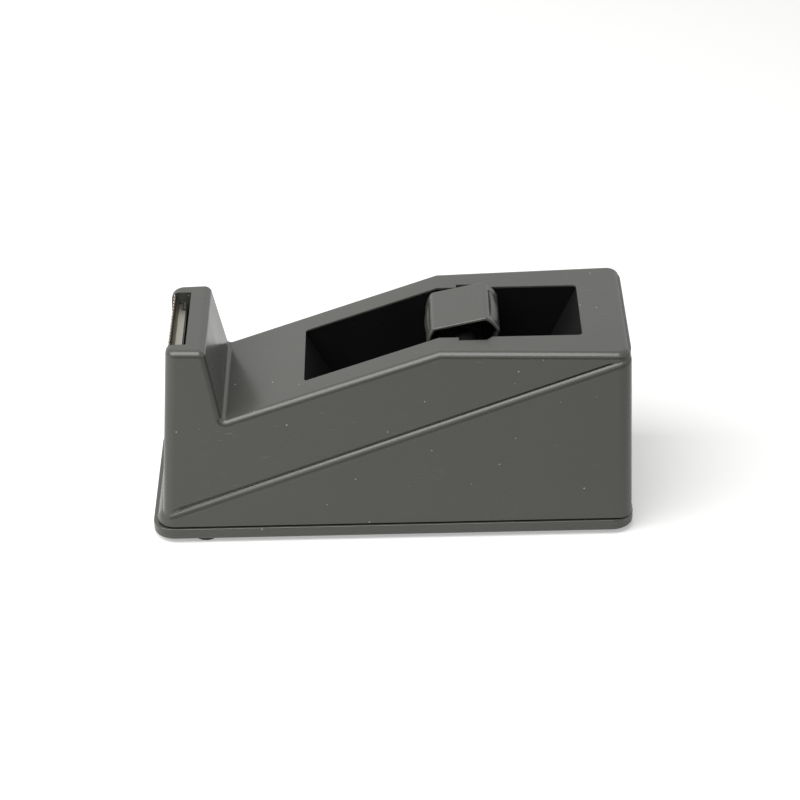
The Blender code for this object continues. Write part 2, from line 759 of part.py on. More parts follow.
# Base plate


def make_base_plate(finish, parent):
    half = WIDTH / 2
    plan = rounded_rectangle((FRONT_END, -half), (REAR_END, half), PLATE_CORNER)
    slab = prism(plan, PLATE_BOTTOM, RIM_TOP, "Z")
    rims = [e for e in slab.edges if e.calc_face_angle(0.0) > 2 * SHARP]
    low = [e for e in rims if middle(e).z < PLATE_BOTTOM + PLATE_RIM / 2]
    bevel(slab, low, PLATE_EDGE, 3)
    plate = piece("base_plate", slab, finish, parent)
    lip_half = BODY_HALF - WALL - CLEARANCE
    lip_low = (front_face(LIP_TOP) + WALL + CLEARANCE, -lip_half)
    lip_high = (body_rear(LIP_TOP) - WALL - CLEARANCE, lip_half)
    lip = rounded_rectangle(lip_low, lip_high, LIP_WALL * 2)
    join(plate, "plate_lip", prism(lip, PLATE_BOTTOM + PLATE_FLOOR / 2, LIP_TOP, "Z"))
    hollow_low = (lip_low[0] + LIP_WALL, lip_low[1] + LIP_WALL)
    hollow_high = (lip_high[0] - LIP_WALL, lip_high[1] - LIP_WALL)
    hollow = rounded_rectangle(hollow_low, hollow_high, LIP_WALL)
    cut(plate, "plate_hollow", prism(hollow, FLOOR_TOP, LIP_TOP + BEYOND, "Z"))
    screws = base_screw_places()
    mid_floor = PLATE_BOTTOM + PLATE_FLOOR / 2
    cups = [cylinder((x, y), CUP_RADIUS, mid_floor, LIP_TOP) for _, x, y in screws]
    boss = BALLAST_BOSS / 2
    bosses = [cylinder((x, y), boss, mid_floor, BALLAST_BOSS_TOP) for _, x, y in ballast_screw_places()]
    join(plate, "plate_cups_and_bosses", joined(cups + bosses))
    below = PLATE_BOTTOM - BEYOND
    heads = [cylinder((x, y), HEAD_HOLE, below, HEAD_SEAT) for _, x, y in screws]
    cut(plate, "plate_head_recesses", joined(heads))
    through = [cylinder((x, y), SCREW_HOLE, below, LIP_TOP + BEYOND) for _, x, y in screws]
    blind = [
        cylinder((x, y), SCREW_HOLE, mid_floor, LIP_TOP + BEYOND) for _, x, y in ballast_screw_places()
    ]
    cut(plate, "plate_screw_holes", joined(through + blind))
    seats = [
        cylinder((x, y), FOOT_SEAT, below, PLATE_BOTTOM + FOOT_INSET_DEPTH + CLEARANCE, FOOT_STEPS)
        for _, x, y in foot_places()
    ]
    cut(plate, "plate_foot_seats", joined(seats))
    return plate


# Cutter blade


def blade_web():
    """The web in plan, with a notch in each rear corner."""
    half = BLADE_HALF
    inner = half - NOTCH_LENGTH
    notch = BLADE_REAR - NOTCH_WIDTH
    outline = [
        (BLADE_FRONT, -half),
        (notch, -half),
        (notch, -inner),
        (BLADE_REAR, -inner),
        (BLADE_REAR, inner),
        (notch, inner),
        (notch, half),
        (BLADE_FRONT, half),
    ]
    return prism(outline, BLADE_BOTTOM, BLADE_BOTTOM + BLADE_THICKNESS, "Z")


def blade_leg():
    """The leg that rises from the web's front edge to a row of teeth and leans forward."""
    half = BLADE_HALF
    teeth = int(2 * half / TOOTH_PITCH)
    pitch = 2 * half / teeth
    root = BLADE_BOTTOM + BLADE_RISE - TOOTH_DEPTH
    edge = [(-half, BLADE_BOTTOM), (half, BLADE_BOTTOM), (half, root)]
    for i in range(teeth):
        right = half - i * pitch
        edge += [(right - pitch / 2, root + TOOTH_DEPTH), (right - pitch, root)]
    bm = bmesh.new()
    face = bm.faces.new([bm.verts.new((BLADE_FRONT, y, z)) for y, z in edge])
    sweep(bm, face, (BLADE_THICKNESS, 0, 0))
    for v in bm.verts:
        v.co.x -= BLADE_LEAN * (v.co.z - BLADE_BOTTOM)
    return bm


def make_cutter_blade(finish, parent):
    blade = piece("cutter_blade", blade_web(), finish, parent)
    join(blade, "blade_leg", blade_leg())
    return blade


# Hub and axle


def tongue_section(radius, half_width):
    """Points of an arc on a lobe that points along +X."""
    half_angle = half_width / HUB_RADIUS
    return arc((0, 0), radius, -half_angle, half_angle, TONGUE_ARC_STEPS)


def tongue(k):
    """A sprung strip of the lobe's wall: rooted at +Y, bowed outwards, free at -Y."""
    outer = HUB_RADIUS - TONGUE_SINK
    ring = tongue_section(outer, TONGUE_WIDTH / 2)
    ring += reversed(tongue_section(outer - TONGUE_THICKNESS, TONGUE_WIDTH / 2))
    start = TONGUE_SHIFT - TONGUE_LENGTH / 2
    bm = bmesh.new()
    face = bm.faces.new([bm.verts.new((x, start, z)) for x, z in ring])
    step = TONGUE_LENGTH / TONGUE_STEPS
    for i in range(TONGUE_STEPS):
        rise = [math.sin(math.pi * share / TONGUE_STEPS) for share in (i, i + 1)]
        face = sweep(bm, face, (TONGUE_BOW * (rise[1] - rise[0]), step, 0))
    sweep(bm, face, (0, TONGUE_ROOT, 0))
    turn_to_lobe(bm, k)
    return bm


def tongue_window(k):
    """The slot round a tongue, cut through the wall of a lobe."""
    half_width = TONGUE_WIDTH / 2 + TONGUE_SLIT
    ring = tongue_section(2 * HUB_RADIUS, half_width)
    ring += reversed(tongue_section(HUB_RADIUS - 2 * HUB_WALL, half_width))
    bm = prism(ring, TONGUE_SHIFT - TONGUE_LENGTH / 2 - TONGUE_SLIT, TONGUE_SHIFT + TONGUE_LENGTH / 2)
    turn_to_lobe(bm, k)
    return bm


def turn_to_lobe(bm, k):
    outwards = Vector((math.cos(lobe_angle(k)), 0, math.sin(lobe_angle(k))))
    turn = Vector((1, 0, 0)).rotation_difference(outwards)
    bmesh.ops.rotate(bm, verts=bm.verts, cent=(0, 0, 0), matrix=turn.to_matrix())


def make_hub_barrel(finish, parent):
    half = HUB_LENGTH / 2
    hub = piece("hub_barrel", prism(hub_section(0.0), -half, half), finish, parent, turn=-HUB_TURN)
    inside = hub_section(HUB_WALL)
    ends = [
        prism(inside, -half - HUB_WALL, -WEB_THICKNESS / 2),
        prism(inside, WEB_THICKNESS / 2, half + HUB_WALL),
    ]
    cut(hub, "hub_hollows", joined(ends))
    bore = flats_at(AXLE_RADIUS + CLEARANCE, ROUND_STEPS)
    bush = circle((0, 0), bore + BUSH_WALL, ROUND_STEPS)
    join(hub, "hub_bush", prism(bush, -BUSH_LENGTH / 2, BUSH_LENGTH / 2))
    cut(hub, "hub_bore", prism(circle((0, 0), bore, ROUND_STEPS), -half, half))
    cut(hub, "hub_windows", joined([tongue_window(k) for k in range(HUB_LOBES)]))
    join(hub, "hub_tongues", joined([tongue(k) for k in range(HUB_LOBES)]))
    return hub


def make_hub_axle(finish, parent):
    """A turned pin whose ends lie in the grooves. A collar and a snap ridge hold the hub's bush."""
    half = GROOVE_END - AXLE_END_GAP
    collar = BUSH_LENGTH / 2 + CLEARANCE
    profile = [
        (0, -half),
        (AXLE_RADIUS - AXLE_CHAMFER, -half),
        (AXLE_RADIUS, -half + AXLE_CHAMFER),
        (AXLE_RADIUS, -collar - AXLE_RIDGE_WIDTH),
        (AXLE_RIDGE / 2, -collar - AXLE_RIDGE_WIDTH / 2),
        (AXLE_RADIUS, -collar),
        (AXLE_RADIUS, collar),
        (AXLE_COLLAR / 2, collar),
        (AXLE_COLLAR / 2, collar + AXLE_COLLAR_WIDTH),
        (AXLE_RADIUS, collar + AXLE_COLLAR_WIDTH),
        (AXLE_RADIUS, half - AXLE_CHAMFER),
        (AXLE_RADIUS - AXLE_CHAMFER, half),
        (0, half),
    ]
    return piece("hub_axle", turned(profile, ROUND_STEPS, "Y"), finish, parent)


# Ballast, screws and feet


def ballast(name, x, size, top, finish, parent, screw_names):
    """A cast block with draft, pockets under it for the plate's bosses and recesses for its screws."""
    low = (x - size[0] / 2, -size[1] / 2, BALLAST_BOTTOM)
    high = (x + size[0] / 2, size[1] / 2, top)
    bm = box(low, high)
    drawn_in = [v for v in bm.verts if v.co.z > (low[2] + top) / 2]
    for v in drawn_in:
        v.co.x = x + (v.co.x - x) * (1 - BALLAST_DRAFT)
        v.co.y *= 1 - BALLAST_DRAFT
    bevel(bm, bm.edges[:], BALLAST_EDGE, 2)
    block = piece(name, bm, finish, parent)
    places = [(px, py) for screw, px, py in ballast_screw_places() if screw in screw_names]
    pocket_top = BALLAST_BOSS_TOP + CLEARANCE
    pockets = [cylinder(p, BOSS_POCKET, BALLAST_BOTTOM - BEYOND, pocket_top) for p in places]
    cut(block, name + "_boss_pockets", joined(pockets))
    holes = [cylinder(p, SCREW_HOLE, BALLAST_BOTTOM, top + BEYOND) for p in places]
    cut(block, name + "_screw_holes", joined(holes))
    recesses = [cylinder(p, HEAD_HOLE, BALLAST_SEAT, top + BEYOND) for p in places]
    cut(block, name + "_head_recesses", joined(recesses))
    return block


def screw(name, place, length, up, finish, parent):
    """A pan head screw whose head seats at place, with its shank running up or down from there."""
    shank = SCREW_SHANK / 2
    head = SCREW_HEAD / 2
    profile = [
        (0, length),
        (shank / 2, length),
        (shank, length - SCREW_SHANK),
        (shank, 0),
        (head, 0),
        *((head * out, -SCREW_HEAD_HEIGHT * down) for out, down in SCREW_HEAD_CROWN),
        (0, -SCREW_HEAD_HEIGHT),
    ]
    bm = turned([(r, h if up else -h) for r, h in profile], HOLE_STEPS)
    return piece(name, bm, finish, parent, place=place)


def foot(name, x, y, finish, parent):
    radius = FOOT_DIAMETER / 2
    top = FOOT_PROUD + FOOT_INSET_DEPTH
    profile = [
        (0, top),
        (radius, top),
        (radius, FOOT_PROUD / 2),
        (radius - FOOT_ROUND / 2, FOOT_ROUND / 2),
        (radius - FOOT_ROUND, 0),
        (0, 0),
    ]
    return piece(name, turned(profile, FOOT_STEPS), finish, parent, place=(x, y, 0))


def empty(name, place, parent):
    obj = bpy.data.objects.new(name, None)
    bpy.context.scene.collection.objects.link(obj)
    obj.parent = parent
    obj.location = place
    return obj


def main():
    for obj in list(bpy.data.objects):
        bpy.data.objects.remove(obj)
    grey_abs = material("grey_abs", "5C5C59", 0.5)
    hub_abs = material("hub_abs", "6B6C68", 0.5)
    black_abs = material("black_abs", "101012", 0.55)
    steel = material("blade_steel", "C9C8C2", 0.3, 1.0)
    iron = material("cast_iron", "3A3836", 0.8, 1.0)
    zinc = material("zinc_plated_steel", "B4B4B0", 0.35, 1.0)
    rubber = material("black_rubber", "1B1B1C", 0.9)

    housing = empty("housing", (0, 0, 0), None)
    make_upper_shell(grey_abs, housing)
    make_tape_well(black_abs, housing)
    make_base_plate(grey_abs, housing)
    make_cutter_blade(steel, housing)

    axle_line = empty("axle_line", (HUB_X, 0, HUB_Z), housing)
    make_hub_axle(black_abs, axle_line)
    make_hub_barrel(hub_abs, axle_line)

    main_size = (MAIN_BALLAST_LENGTH, MAIN_BALLAST_WIDTH)
    front_size = (FRONT_BALLAST_LENGTH, FRONT_BALLAST_WIDTH)
    main_top = liner_floor() - CLEARANCE
    front_top = BALLAST_BOTTOM + FRONT_BALLAST_HEIGHT
    main_screws = ("main_ballast_screw_front", "main_ballast_screw_rear")
    front_screws = ("front_ballast_screw_left", "front_ballast_screw_right")
    ballast("main_ballast", MAIN_BALLAST_X, main_size, main_top, iron, housing, main_screws)
    ballast("front_ballast", FRONT_BALLAST_X, front_size, front_top, iron, housing, front_screws)

    for name, x, y in base_screw_places():
        screw(name, (x, y, HEAD_SEAT - CLEARANCE), BASE_SCREW_LENGTH, True, zinc, housing)
    for name, x, y in ballast_screw_places():
        screw(name, (x, y, BALLAST_SEAT + CLEARANCE), BALLAST_SCREW_LENGTH, False, zinc, housing)
    for name, x, y in foot_places():
        foot(name, x, y, rubber, housing)


main()
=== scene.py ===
import math

import bmesh
import bpy
from mathutils import Matrix, Vector


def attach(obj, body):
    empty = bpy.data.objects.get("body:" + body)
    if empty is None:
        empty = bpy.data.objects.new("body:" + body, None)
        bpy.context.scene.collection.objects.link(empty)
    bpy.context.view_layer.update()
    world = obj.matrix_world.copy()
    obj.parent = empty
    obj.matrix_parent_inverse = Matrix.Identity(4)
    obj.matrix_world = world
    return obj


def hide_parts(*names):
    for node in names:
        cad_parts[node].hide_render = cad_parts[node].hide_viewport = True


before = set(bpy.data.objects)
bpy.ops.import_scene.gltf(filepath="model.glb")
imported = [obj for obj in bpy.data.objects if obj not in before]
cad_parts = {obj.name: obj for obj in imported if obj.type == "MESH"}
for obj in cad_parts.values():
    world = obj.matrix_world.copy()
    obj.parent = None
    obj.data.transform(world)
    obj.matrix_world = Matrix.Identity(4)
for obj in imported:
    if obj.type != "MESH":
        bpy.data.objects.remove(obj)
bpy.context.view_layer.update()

# Desktop tape dispenser. Pieces are drawn in millimetres and scaled to metres when they are finished.
mm = 0.001
scene = bpy.context.scene
close = 0.05  # a point this near to an edge or a face lies on it
beyond = 40.0  # how far a blank or a cutter runs past what it meets
print("frame loaded:", len(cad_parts), "nodes")


# small mesh helpers
def ofKind(items, kind):
    return [item for item in items if isinstance(item, kind)]


def pushOn(bm, faces, step, keepOld=True):
    # extrudes faces by a step and returns the new ones
    swept = bmesh.ops.extrude_face_region(bm, geom=faces)["geom"]
    bmesh.ops.translate(bm, verts=ofKind(swept, bmesh.types.BMVert), vec=step)
    if not keepOld:
        bmesh.ops.delete(bm, geom=faces, context="FACES")
    return ofKind(swept, bmesh.types.BMFace)


def draw(outline, low, high, axis="Y"):
    # a closed solid from an outline: (x, z) points swept along Y, or (x, y) points swept along Z
    bm = bmesh.new()
    if axis == "Y":
        ring = [bm.verts.new((x, low, z)) for x, z in outline]
        step = (0, high - low, 0)
    else:
        ring = [bm.verts.new((x, y, low)) for x, y in outline]
        step = (0, 0, high - low)
    pushOn(bm, [bm.faces.new(ring)], step)
    bmesh.ops.recalc_face_normals(bm, faces=bm.faces)
    return bm


def block(low, high):
    bm = bmesh.new()
    bmesh.ops.create_cube(bm, size=1.0)
    bmesh.ops.scale(bm, vec=[b - a for a, b in zip(low, high)], verts=bm.verts)
    bmesh.ops.translate(bm, vec=[(a + b) / 2 for a, b in zip(low, high)], verts=bm.verts)
    return bm


def rod(place, radius, low, high, steps=48):
    bm = bmesh.new()
    bmesh.ops.create_cone(
        bm, cap_ends=True, segments=steps, radius1=radius, radius2=radius, depth=high - low
    )
    bmesh.ops.translate(bm, vec=(place[0], place[1], (low + high) / 2), verts=bm.verts)
    return bm


def turn(profile, steps=64):
    # (radius, height) points turned about Z, the first and last at radius 0
    bm = bmesh.new()
    points = [bm.verts.new((r, 0, h)) for r, h in profile]
    lines = [bm.edges.new(pair) for pair in zip(points, points[1:])]
    bmesh.ops.spin(
        bm, geom=points + lines, cent=(0, 0, 0), axis=(0, 0, 1), angle=math.tau, steps=steps, use_merge=True
    )
    bmesh.ops.remove_doubles(bm, verts=bm.verts, dist=0.001)
    bmesh.ops.recalc_face_normals(bm, faces=bm.faces)
    return bm


def layOnY(bm):
    lying = Matrix.Rotation(math.radians(-90), 3, "X")
    bmesh.ops.rotate(bm, verts=bm.verts, cent=(0, 0, 0), matrix=lying)
    return bm


def roundOff(bm, edges, radius, segments, clamp=True):
    bmesh.ops.bevel(
        bm, geom=edges, offset=radius, offset_type="OFFSET", segments=segments, profile=0.5,
        affect="EDGES", clamp_overlap=clamp, material=-1,
    )


def insetFace(bm, face, thickness):
    # draws a lone face in by a wall, or out where the thickness is below 0
    bm.normal_update()
    bmesh.ops.inset_region(bm, faces=[face], thickness=thickness, use_boundary=True, use_even_offset=True)
    bmesh.ops.delete(bm, geom=[f for f in bm.faces if f != face], context="FACES")


def middle(edge):
    return (edge.verts[0].co + edge.verts[1].co) / 2


def runsOn(edge, axis):
    # whether an edge runs along an axis, give or take a lean
    way = (edge.verts[1].co - edge.verts[0].co).normalized()
    return abs(way["XYZ".index(axis)]) > 0.9


def sharp(bm, degrees=30):
    return [e for e in bm.edges if e.calc_face_angle(0.0) > math.radians(degrees)]


def sliceAt(bm, point, normal, **settings):
    everything = bm.verts[:] + bm.edges[:] + bm.faces[:]
    return bmesh.ops.bisect_plane(bm, geom=everything, plane_co=point, plane_no=normal, **settings)


def trim(bm, point, normal):
    # takes away the side that the normal points to, and closes the cut
    sliced = sliceAt(bm, point, normal, clear_outer=True)
    bmesh.ops.edgeloop_fill(bm, edges=ofKind(sliced["geom_cut"], bmesh.types.BMEdge))
    bmesh.ops.recalc_face_normals(bm, faces=bm.faces)


def toObject(bm, name):
    mesh = bpy.data.meshes.new(name)
    bm.to_mesh(mesh)
    bm.free()
    obj = bpy.data.objects.new(name, mesh)
    scene.collection.objects.link(obj)
    return obj


def combine(bm, other, how):
    # Boolean of two meshes, applied at once: how is UNION or DIFFERENCE
    base = toObject(bm, "base")
    cutter = toObject(other, "cutter")
    change = base.modifiers.new("boolean", "BOOLEAN")
    change.operation = how
    change.solver = "EXACT"
    change.object = cutter
    shaped = base.evaluated_get(bpy.context.evaluated_depsgraph_get()).to_mesh()
    result = bmesh.new()
    result.from_mesh(shaped)
    for obj in (base, cutter):
        mesh = obj.data
        bpy.data.objects.remove(obj)
        bpy.data.meshes.remove(mesh)
    bmesh.ops.remove_doubles(result, verts=result.verts, dist=0.0005)
    return result


def cut(bm, *others):
    for other in others:
        bm = combine(bm, other, "DIFFERENCE")
    return bm


def fuse(bm, *others):
    for other in others:
        bm = combine(bm, other, "UNION")
    return bm


def addPiece(name, bm, material, body, slot, *nodes, smoothAngle=34):
    bmesh.ops.scale(bm, vec=(mm, mm, mm), verts=bm.verts)
    obj = toObject(bm, name)
    obj.data.shade_smooth()
    obj.data.set_sharp_from_angle(angle=math.radians(smoothAngle))
    flats = obj.modifiers.new("flats stay flat", "WEIGHTED_NORMAL")
    flats.keep_sharp = True
    flats.weight = 80
    obj.data.materials.append(material)
    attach(obj, body)
    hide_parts(*nodes)
    print("made", name, len(obj.data.polygons), "faces")


# materials
def hexColour(code):
    shares = [int(code[i:i + 2], 16) / 255 for i in (0, 2, 4)]
    return tuple(v / 12.92 if v <= 0.04045 else ((v + 0.055) / 1.055) ** 2.4 for v in shares) + (1.0,)


def addNode(tree, kind, settings=None, links=None):
    # one node with its settings (properties or sockets by name) and its incoming links
    node = tree.nodes.new(kind)
    for name, value in (settings or {}).items():
        if isinstance(name, str) and hasattr(node, name):
            setattr(node, name, value)
        else:
            node.inputs[name].default_value = value
    for name, source in (links or {}).items():
        tree.links.new(source, node.inputs[name])
    return node


def startMaterial(name, settings):
    material = bpy.data.materials.new(name)
    material.use_nodes = True
    tree = material.node_tree
    shader = tree.nodes["Principled BSDF"]
    for socket, value in settings.items():
        shader.inputs[socket].default_value = value
    return material, tree, shader


def objectPlace(tree):
    return addNode(tree, "ShaderNodeTexCoord").outputs["Object"]


def perMetre(period):
    # pattern scale for one repeat in so many millimetres
    return 1.0 / (period * mm)


def noise(tree, place, scale, detail):
    settings = {"Scale": scale, "Detail": detail}
    return addNode(tree, "ShaderNodeTexNoise", settings, {"Vector": place}).outputs["Fac"]


def stretched(tree, place, periods, lean=0.0):
    # place counted in repeats of so many millimetres along each axis
    settings = {"Scale": tuple(perMetre(p) for p in periods), "Rotation": (0.0, math.radians(lean), 0.0)}
    return addNode(tree, "ShaderNodeMapping", settings, {"Vector": place}).outputs["Vector"]


def remap(tree, value, settings):
    return addNode(tree, "ShaderNodeMapRange", settings, {"Value": value}).outputs["Result"]


def maths(tree, operation, first, second):
    # first is a socket, second a socket or a number
    settings, links = {"operation": operation}, {0: first}
    if isinstance(second, float):
        settings[1] = second
    else:
        links[1] = second
    return addNode(tree, "ShaderNodeMath", settings, links).outputs["Value"]


def blend(tree, share, first, second):
    # colour from first, a hex code or a socket, to second, a hex code
    settings, links = {"data_type": "RGBA", 7: hexColour(second)}, {0: share}
    if isinstance(first, str):
        settings[6] = hexColour(first)
    else:
        links[6] = first
    return addNode(tree, "ShaderNodeMix", settings, links).outputs[2]


def addBump(tree, shader, height, strength, depth):
    settings = {"Strength": strength, "Distance": depth * mm}
    bump = addNode(tree, "ShaderNodeBump", settings, {"Height": height})
    tree.links.new(bump.outputs["Normal"], shader.inputs["Normal"])


absSkin = {
    "ior": 1.53, "cloudFrom": 0.3, "cloudTo": 0.7, "smoother": 0.03, "rougher": 0.04, "grainHeight": 0.02,
    "dustColour": "B9B8B0", "dustCore": 0.55, "scuffFrom": 0.69, "scuffTo": 0.8, "scuffLean": -18.0,
}


def mouldedAbs(name, look):
    # injection-moulded ABS: satin skin, faint flow clouding, fine eroded grain, handling scuffs and dust
    material, tree, shader = startMaterial(
        name, {"IOR": absSkin["ior"], "Specular IOR Level": look["sheen"]}
    )
    place = objectPlace(tree)
    cloud = noise(tree, place, perMetre(look["cloud"]), detail=3.0)
    tone = blend(tree, cloud, look["dark"], look["light"])
    # dust: one speck in a few of the cells, where a cell's point happens to lie in the surface
    cells = addNode(tree, "ShaderNodeTexVoronoi", {"Scale": perMetre(look["dustCell"])}, {"Vector": place})
    edge = look["dustRadius"] / look["dustCell"]
    speck = remap(
        tree, cells.outputs["Distance"],
        {"From Min": edge, "From Max": absSkin["dustCore"] * edge, "To Max": look["dust"]},
    )
    # scuffs: short pale rubs, long along the length of the object
    periods = (look["scuffLength"], look["scuffWidth"], look["scuffWidth"])
    rub = noise(tree, stretched(tree, place, periods, absSkin["scuffLean"]), 1.0, detail=2.0)
    scuff = remap(
        tree, rub, {"From Min": absSkin["scuffFrom"], "From Max": absSkin["scuffTo"], "To Max": look["scuff"]}
    )
    marks = maths(tree, "MAXIMUM", speck, scuff)
    tree.links.new(blend(tree, marks, tone, absSkin["dustColour"]), shader.inputs["Base Color"])
    gloss = remap(
        tree, cloud,
        {"From Min": absSkin["cloudFrom"], "From Max": absSkin["cloudTo"],
         "To Min": look["roughness"] - absSkin["smoother"], "To Max": look["roughness"] + absSkin["rougher"]},
    )
    tree.links.new(gloss, shader.inputs["Roughness"])
    # the real grain is about 0.1 mm, drawn coarser so that it shows at all
    grain = noise(tree, place, perMetre(look["grain"]), detail=1.0)
    addBump(tree, shader, grain, look["bump"], absSkin["grainHeight"])
    return material


greyLook = {
    "dark": "484844", "light": "4E4E4A", "roughness": 0.24, "sheen": 0.5,
    "cloud": 26.0, "grain": 0.45, "bump": 0.25,
    "dustCell": 6.0, "dustRadius": 0.3, "dust": 0.85,
    "scuffLength": 5.0, "scuffWidth": 0.5, "scuff": 0.14,
}
hubLook = {
    "dark": "484844", "light": "4E4E4A", "roughness": 0.26, "sheen": 0.5,
    "cloud": 14.0, "grain": 0.4, "bump": 0.2,
    "dustCell": 5.0, "dustRadius": 0.15, "dust": 0.4,
    "scuffLength": 5.0, "scuffWidth": 0.4, "scuff": 0.2,
}
blackLook = {
    "dark": "0A0A0B", "light": "0E0E0F", "roughness": 0.6, "sheen": 0.18,
    "cloud": 20.0, "grain": 0.5, "bump": 0.3,
    "dustCell": 5.0, "dustRadius": 0.15, "dust": 0.15,
    "scuffLength": 6.0, "scuffWidth": 0.5, "scuff": 0.05,
}

# the last two fades bound the band of painted shade and old adhesive in the blade's gullets
steelSkin = {"glossSpread": 0.08, "bump": 0.2, "lineHeight": 0.02, "shadeAndGlueFade": 0.2, "shadeAndGlueEdge": 0.1}


def rolledSteel(name, look):
    # metal strip or wire: fine drawn lines along the length, and where gullets are given a darker band there,
    # painted shade between the teeth with some old adhesive
    material, tree, shader = startMaterial(name, {"Metallic": 1.0})
    place = objectPlace(tree)
    periods = (look["line"], look["lineLength"], look["line"])
    lines = noise(tree, stretched(tree, place, periods), 1.0, detail=3.0)
    colour = blend(tree, lines, look["dark"], look["light"])
    if "gullets" in look:
        # painted shade in the gullets between the teeth, with some old adhesive, rubbed off the tips
        low, high = (height * mm for height in look["gullets"])
        fade, edge = steelSkin["shadeAndGlueFade"] * mm, steelSkin["shadeAndGlueEdge"] * mm
        level = addNode(tree, "ShaderNodeSeparateXYZ", links={"Vector": place}).outputs["Z"]
        above = remap(tree, level, {"From Min": low - fade, "From Max": low})
        below = remap(tree, level, {"From Min": high + edge, "From Max": high})
        colour = blend(tree, maths(tree, "MULTIPLY", above, below), colour, look["grime"])
    tree.links.new(colour, shader.inputs["Base Color"])
    spread = steelSkin["glossSpread"]
    gloss = remap(tree, lines, {"To Min": look["roughness"] - spread, "To Max": look["roughness"] + spread})
    tree.links.new(gloss, shader.inputs["Roughness"])
    addBump(tree, shader, lines, steelSkin["bump"], steelSkin["lineHeight"])
    return material


# the gullet colour is painted shade at the roots of the teeth, with some old adhesive
bladeLook = {
    "dark": "8F8C82", "light": "B9B6AA", "roughness": 0.38, "line": 0.18, "lineLength": 6.0,
    "gullets": (62.2, 62.95), "grime": "453F34",
}
zincLook = {"dark": "8E8E8A", "light": "BEBEBA", "roughness": 0.38, "line": 0.3, "lineLength": 0.6}


def roughSkin(name, look):
    # cast or moulded matt skin: coarse grain in colour and height
    material, tree, shader = startMaterial(
        name, {"Metallic": look["metallic"], "Roughness": look["roughness"]}
    )
    grain = noise(tree, objectPlace(tree), perMetre(look["grain"]), detail=4.0)
    tree.links.new(blend(tree, grain, look["dark"], look["light"]), shader.inputs["Base Color"])
    addBump(tree, shader, grain, look["bump"], look["height"])
    return material


ironLook = {
    "dark": "2C2A28", "light": "4A4743", "metallic": 0.6, "roughness": 0.75,
    "grain": 1.2, "bump": 0.5, "height": 0.2,
}
rubberLook = {
    "dark": "161617", "light": "222223", "metallic": 0.0, "roughness": 0.85,
    "grain": 0.5, "bump": 0.5, "height": 0.05,
}

greyAbs = mouldedAbs("greyAbs", greyLook)
hubAbs = mouldedAbs("hubAbs", hubLook)
blackAbs = mouldedAbs("blackAbs", blackLook)
bladeSteel = rolledSteel("coldRolledSteel", bladeLook)
zincSteel = rolledSteel("zincPlatedSteel", zincLook)
castIron = roughSkin("castIron", ironLook)
footRubber = roughSkin("mouldedRubber", rubberLook)
print("materials ready")


# upper shell: body above the diagonal ledge, skirt below it
shell = {
    "frontEnd": -75.0, "rearEnd": 75.0, "plateBottom": 1.5, "skirtBottom": 5.65,
    "ledgeFront": 8.35, "ledgeSlope": 0.36433, "lap": 3.0,
    "bodyHalf": 28.9, "sideLean": 0.138, "frontSetback": 2.85, "frontLean": 0.064,
    "skirtFront": -73.6, "skirtRear": 74.6, "skirtHalf": 30.0, "rearLean": 0.021, "rearStep": 0.3,
    "deckTop": 63.6, "noseTop": 63.5, "noseBack": -56.28,
    "valleyX": -51.81, "valleyZ": 40.7, "breakX": 15.2,
    "bodyRound": 2.0, "valleyRound": 1.5, "bodyFrontCorner": 3.6, "bodyRearCorner": 4.0,
    "frontCorner": 6.0, "rearCorner": 4.6, "ledgeRound": 2.9, "skirtEdge": 0.3,
    "edgeSteps": 6, "cornerSteps": 10,
    "wall": 2.2, "hollowLow": -20.0, "noseSolid": 6.8, "noseShift": 0.3,
}
rim = {"round": 0.5, "corner": 8.0, "low": 59.5, "grow": (1.0005, 1.001, 1.0)}
undercut = {
    "radius": 0.62, "up": 0.1, "front": -66.0, "rear": 66.0, "run": 6.0, "tip": (0.2, 0.2, 1.0), "steps": 24,
}
hubAxis = (23.396, 57.7)
groove = {
    "radius": 3.9, "lean": 20.0, "halfSpan": 17.8, "leadIn": 1.7, "leadInDeep": 4.4, "leadInRise": 3.0,
    "seatShare": 0.999, "steps": 16,
}
well = {"front": -26.4, "rear": 58.9, "half": 15.9, "corner": 1.0, "lip": 0.6, "edge": 0.25, "above": 100.0}
rebate = {"ends": 1.75, "sides": 1.6, "low": 38.5}
pocket = {
    "rear": -62.08, "bottom": 58.7, "half": 16.7, "slotFront": -63.48, "slotDeep": 4.0,
    "lip": -67.49, "lipLow": -69.75, "ahead": -110.0, "above": 90.0,
}
stub = {"front": -64.58, "rear": -63.78, "low": 57.7, "high": 60.0, "inner": 12.4, "sunk": 2.0}


def ledgeAt(x):
    return shell["ledgeFront"] + shell["ledgeSlope"] * (x - shell["frontEnd"])


def frontAt(z):
    return shell["frontEnd"] + shell["frontSetback"] + shell["frontLean"] * (z - shell["plateBottom"])


def skirtRearAt(z):
    return shell["skirtRear"] - shell["rearLean"] * (z - shell["plateBottom"])


def slopeAt(x):
    rise = (shell["deckTop"] - shell["valleyZ"]) / (shell["breakX"] - shell["valleyX"])
    return min(shell["deckTop"], shell["valleyZ"] + rise * (x - shell["valleyX"]))


def bodyOutline():
    lowFront = ledgeAt(frontAt(shell["plateBottom"])) - shell["lap"]
    lowRear = ledgeAt(shell["rearEnd"]) - shell["lap"]
    step = shell["rearStep"]
    return [
        (frontAt(lowFront), lowFront),
        (skirtRearAt(lowRear) - step, lowRear),
        (skirtRearAt(shell["deckTop"]) - step, shell["deckTop"]),
        (shell["breakX"], shell["deckTop"]),
        (shell["valleyX"], shell["valleyZ"]),
        (shell["noseBack"], shell["noseTop"]),
        (frontAt(shell["noseTop"]), shell["noseTop"]),
    ]


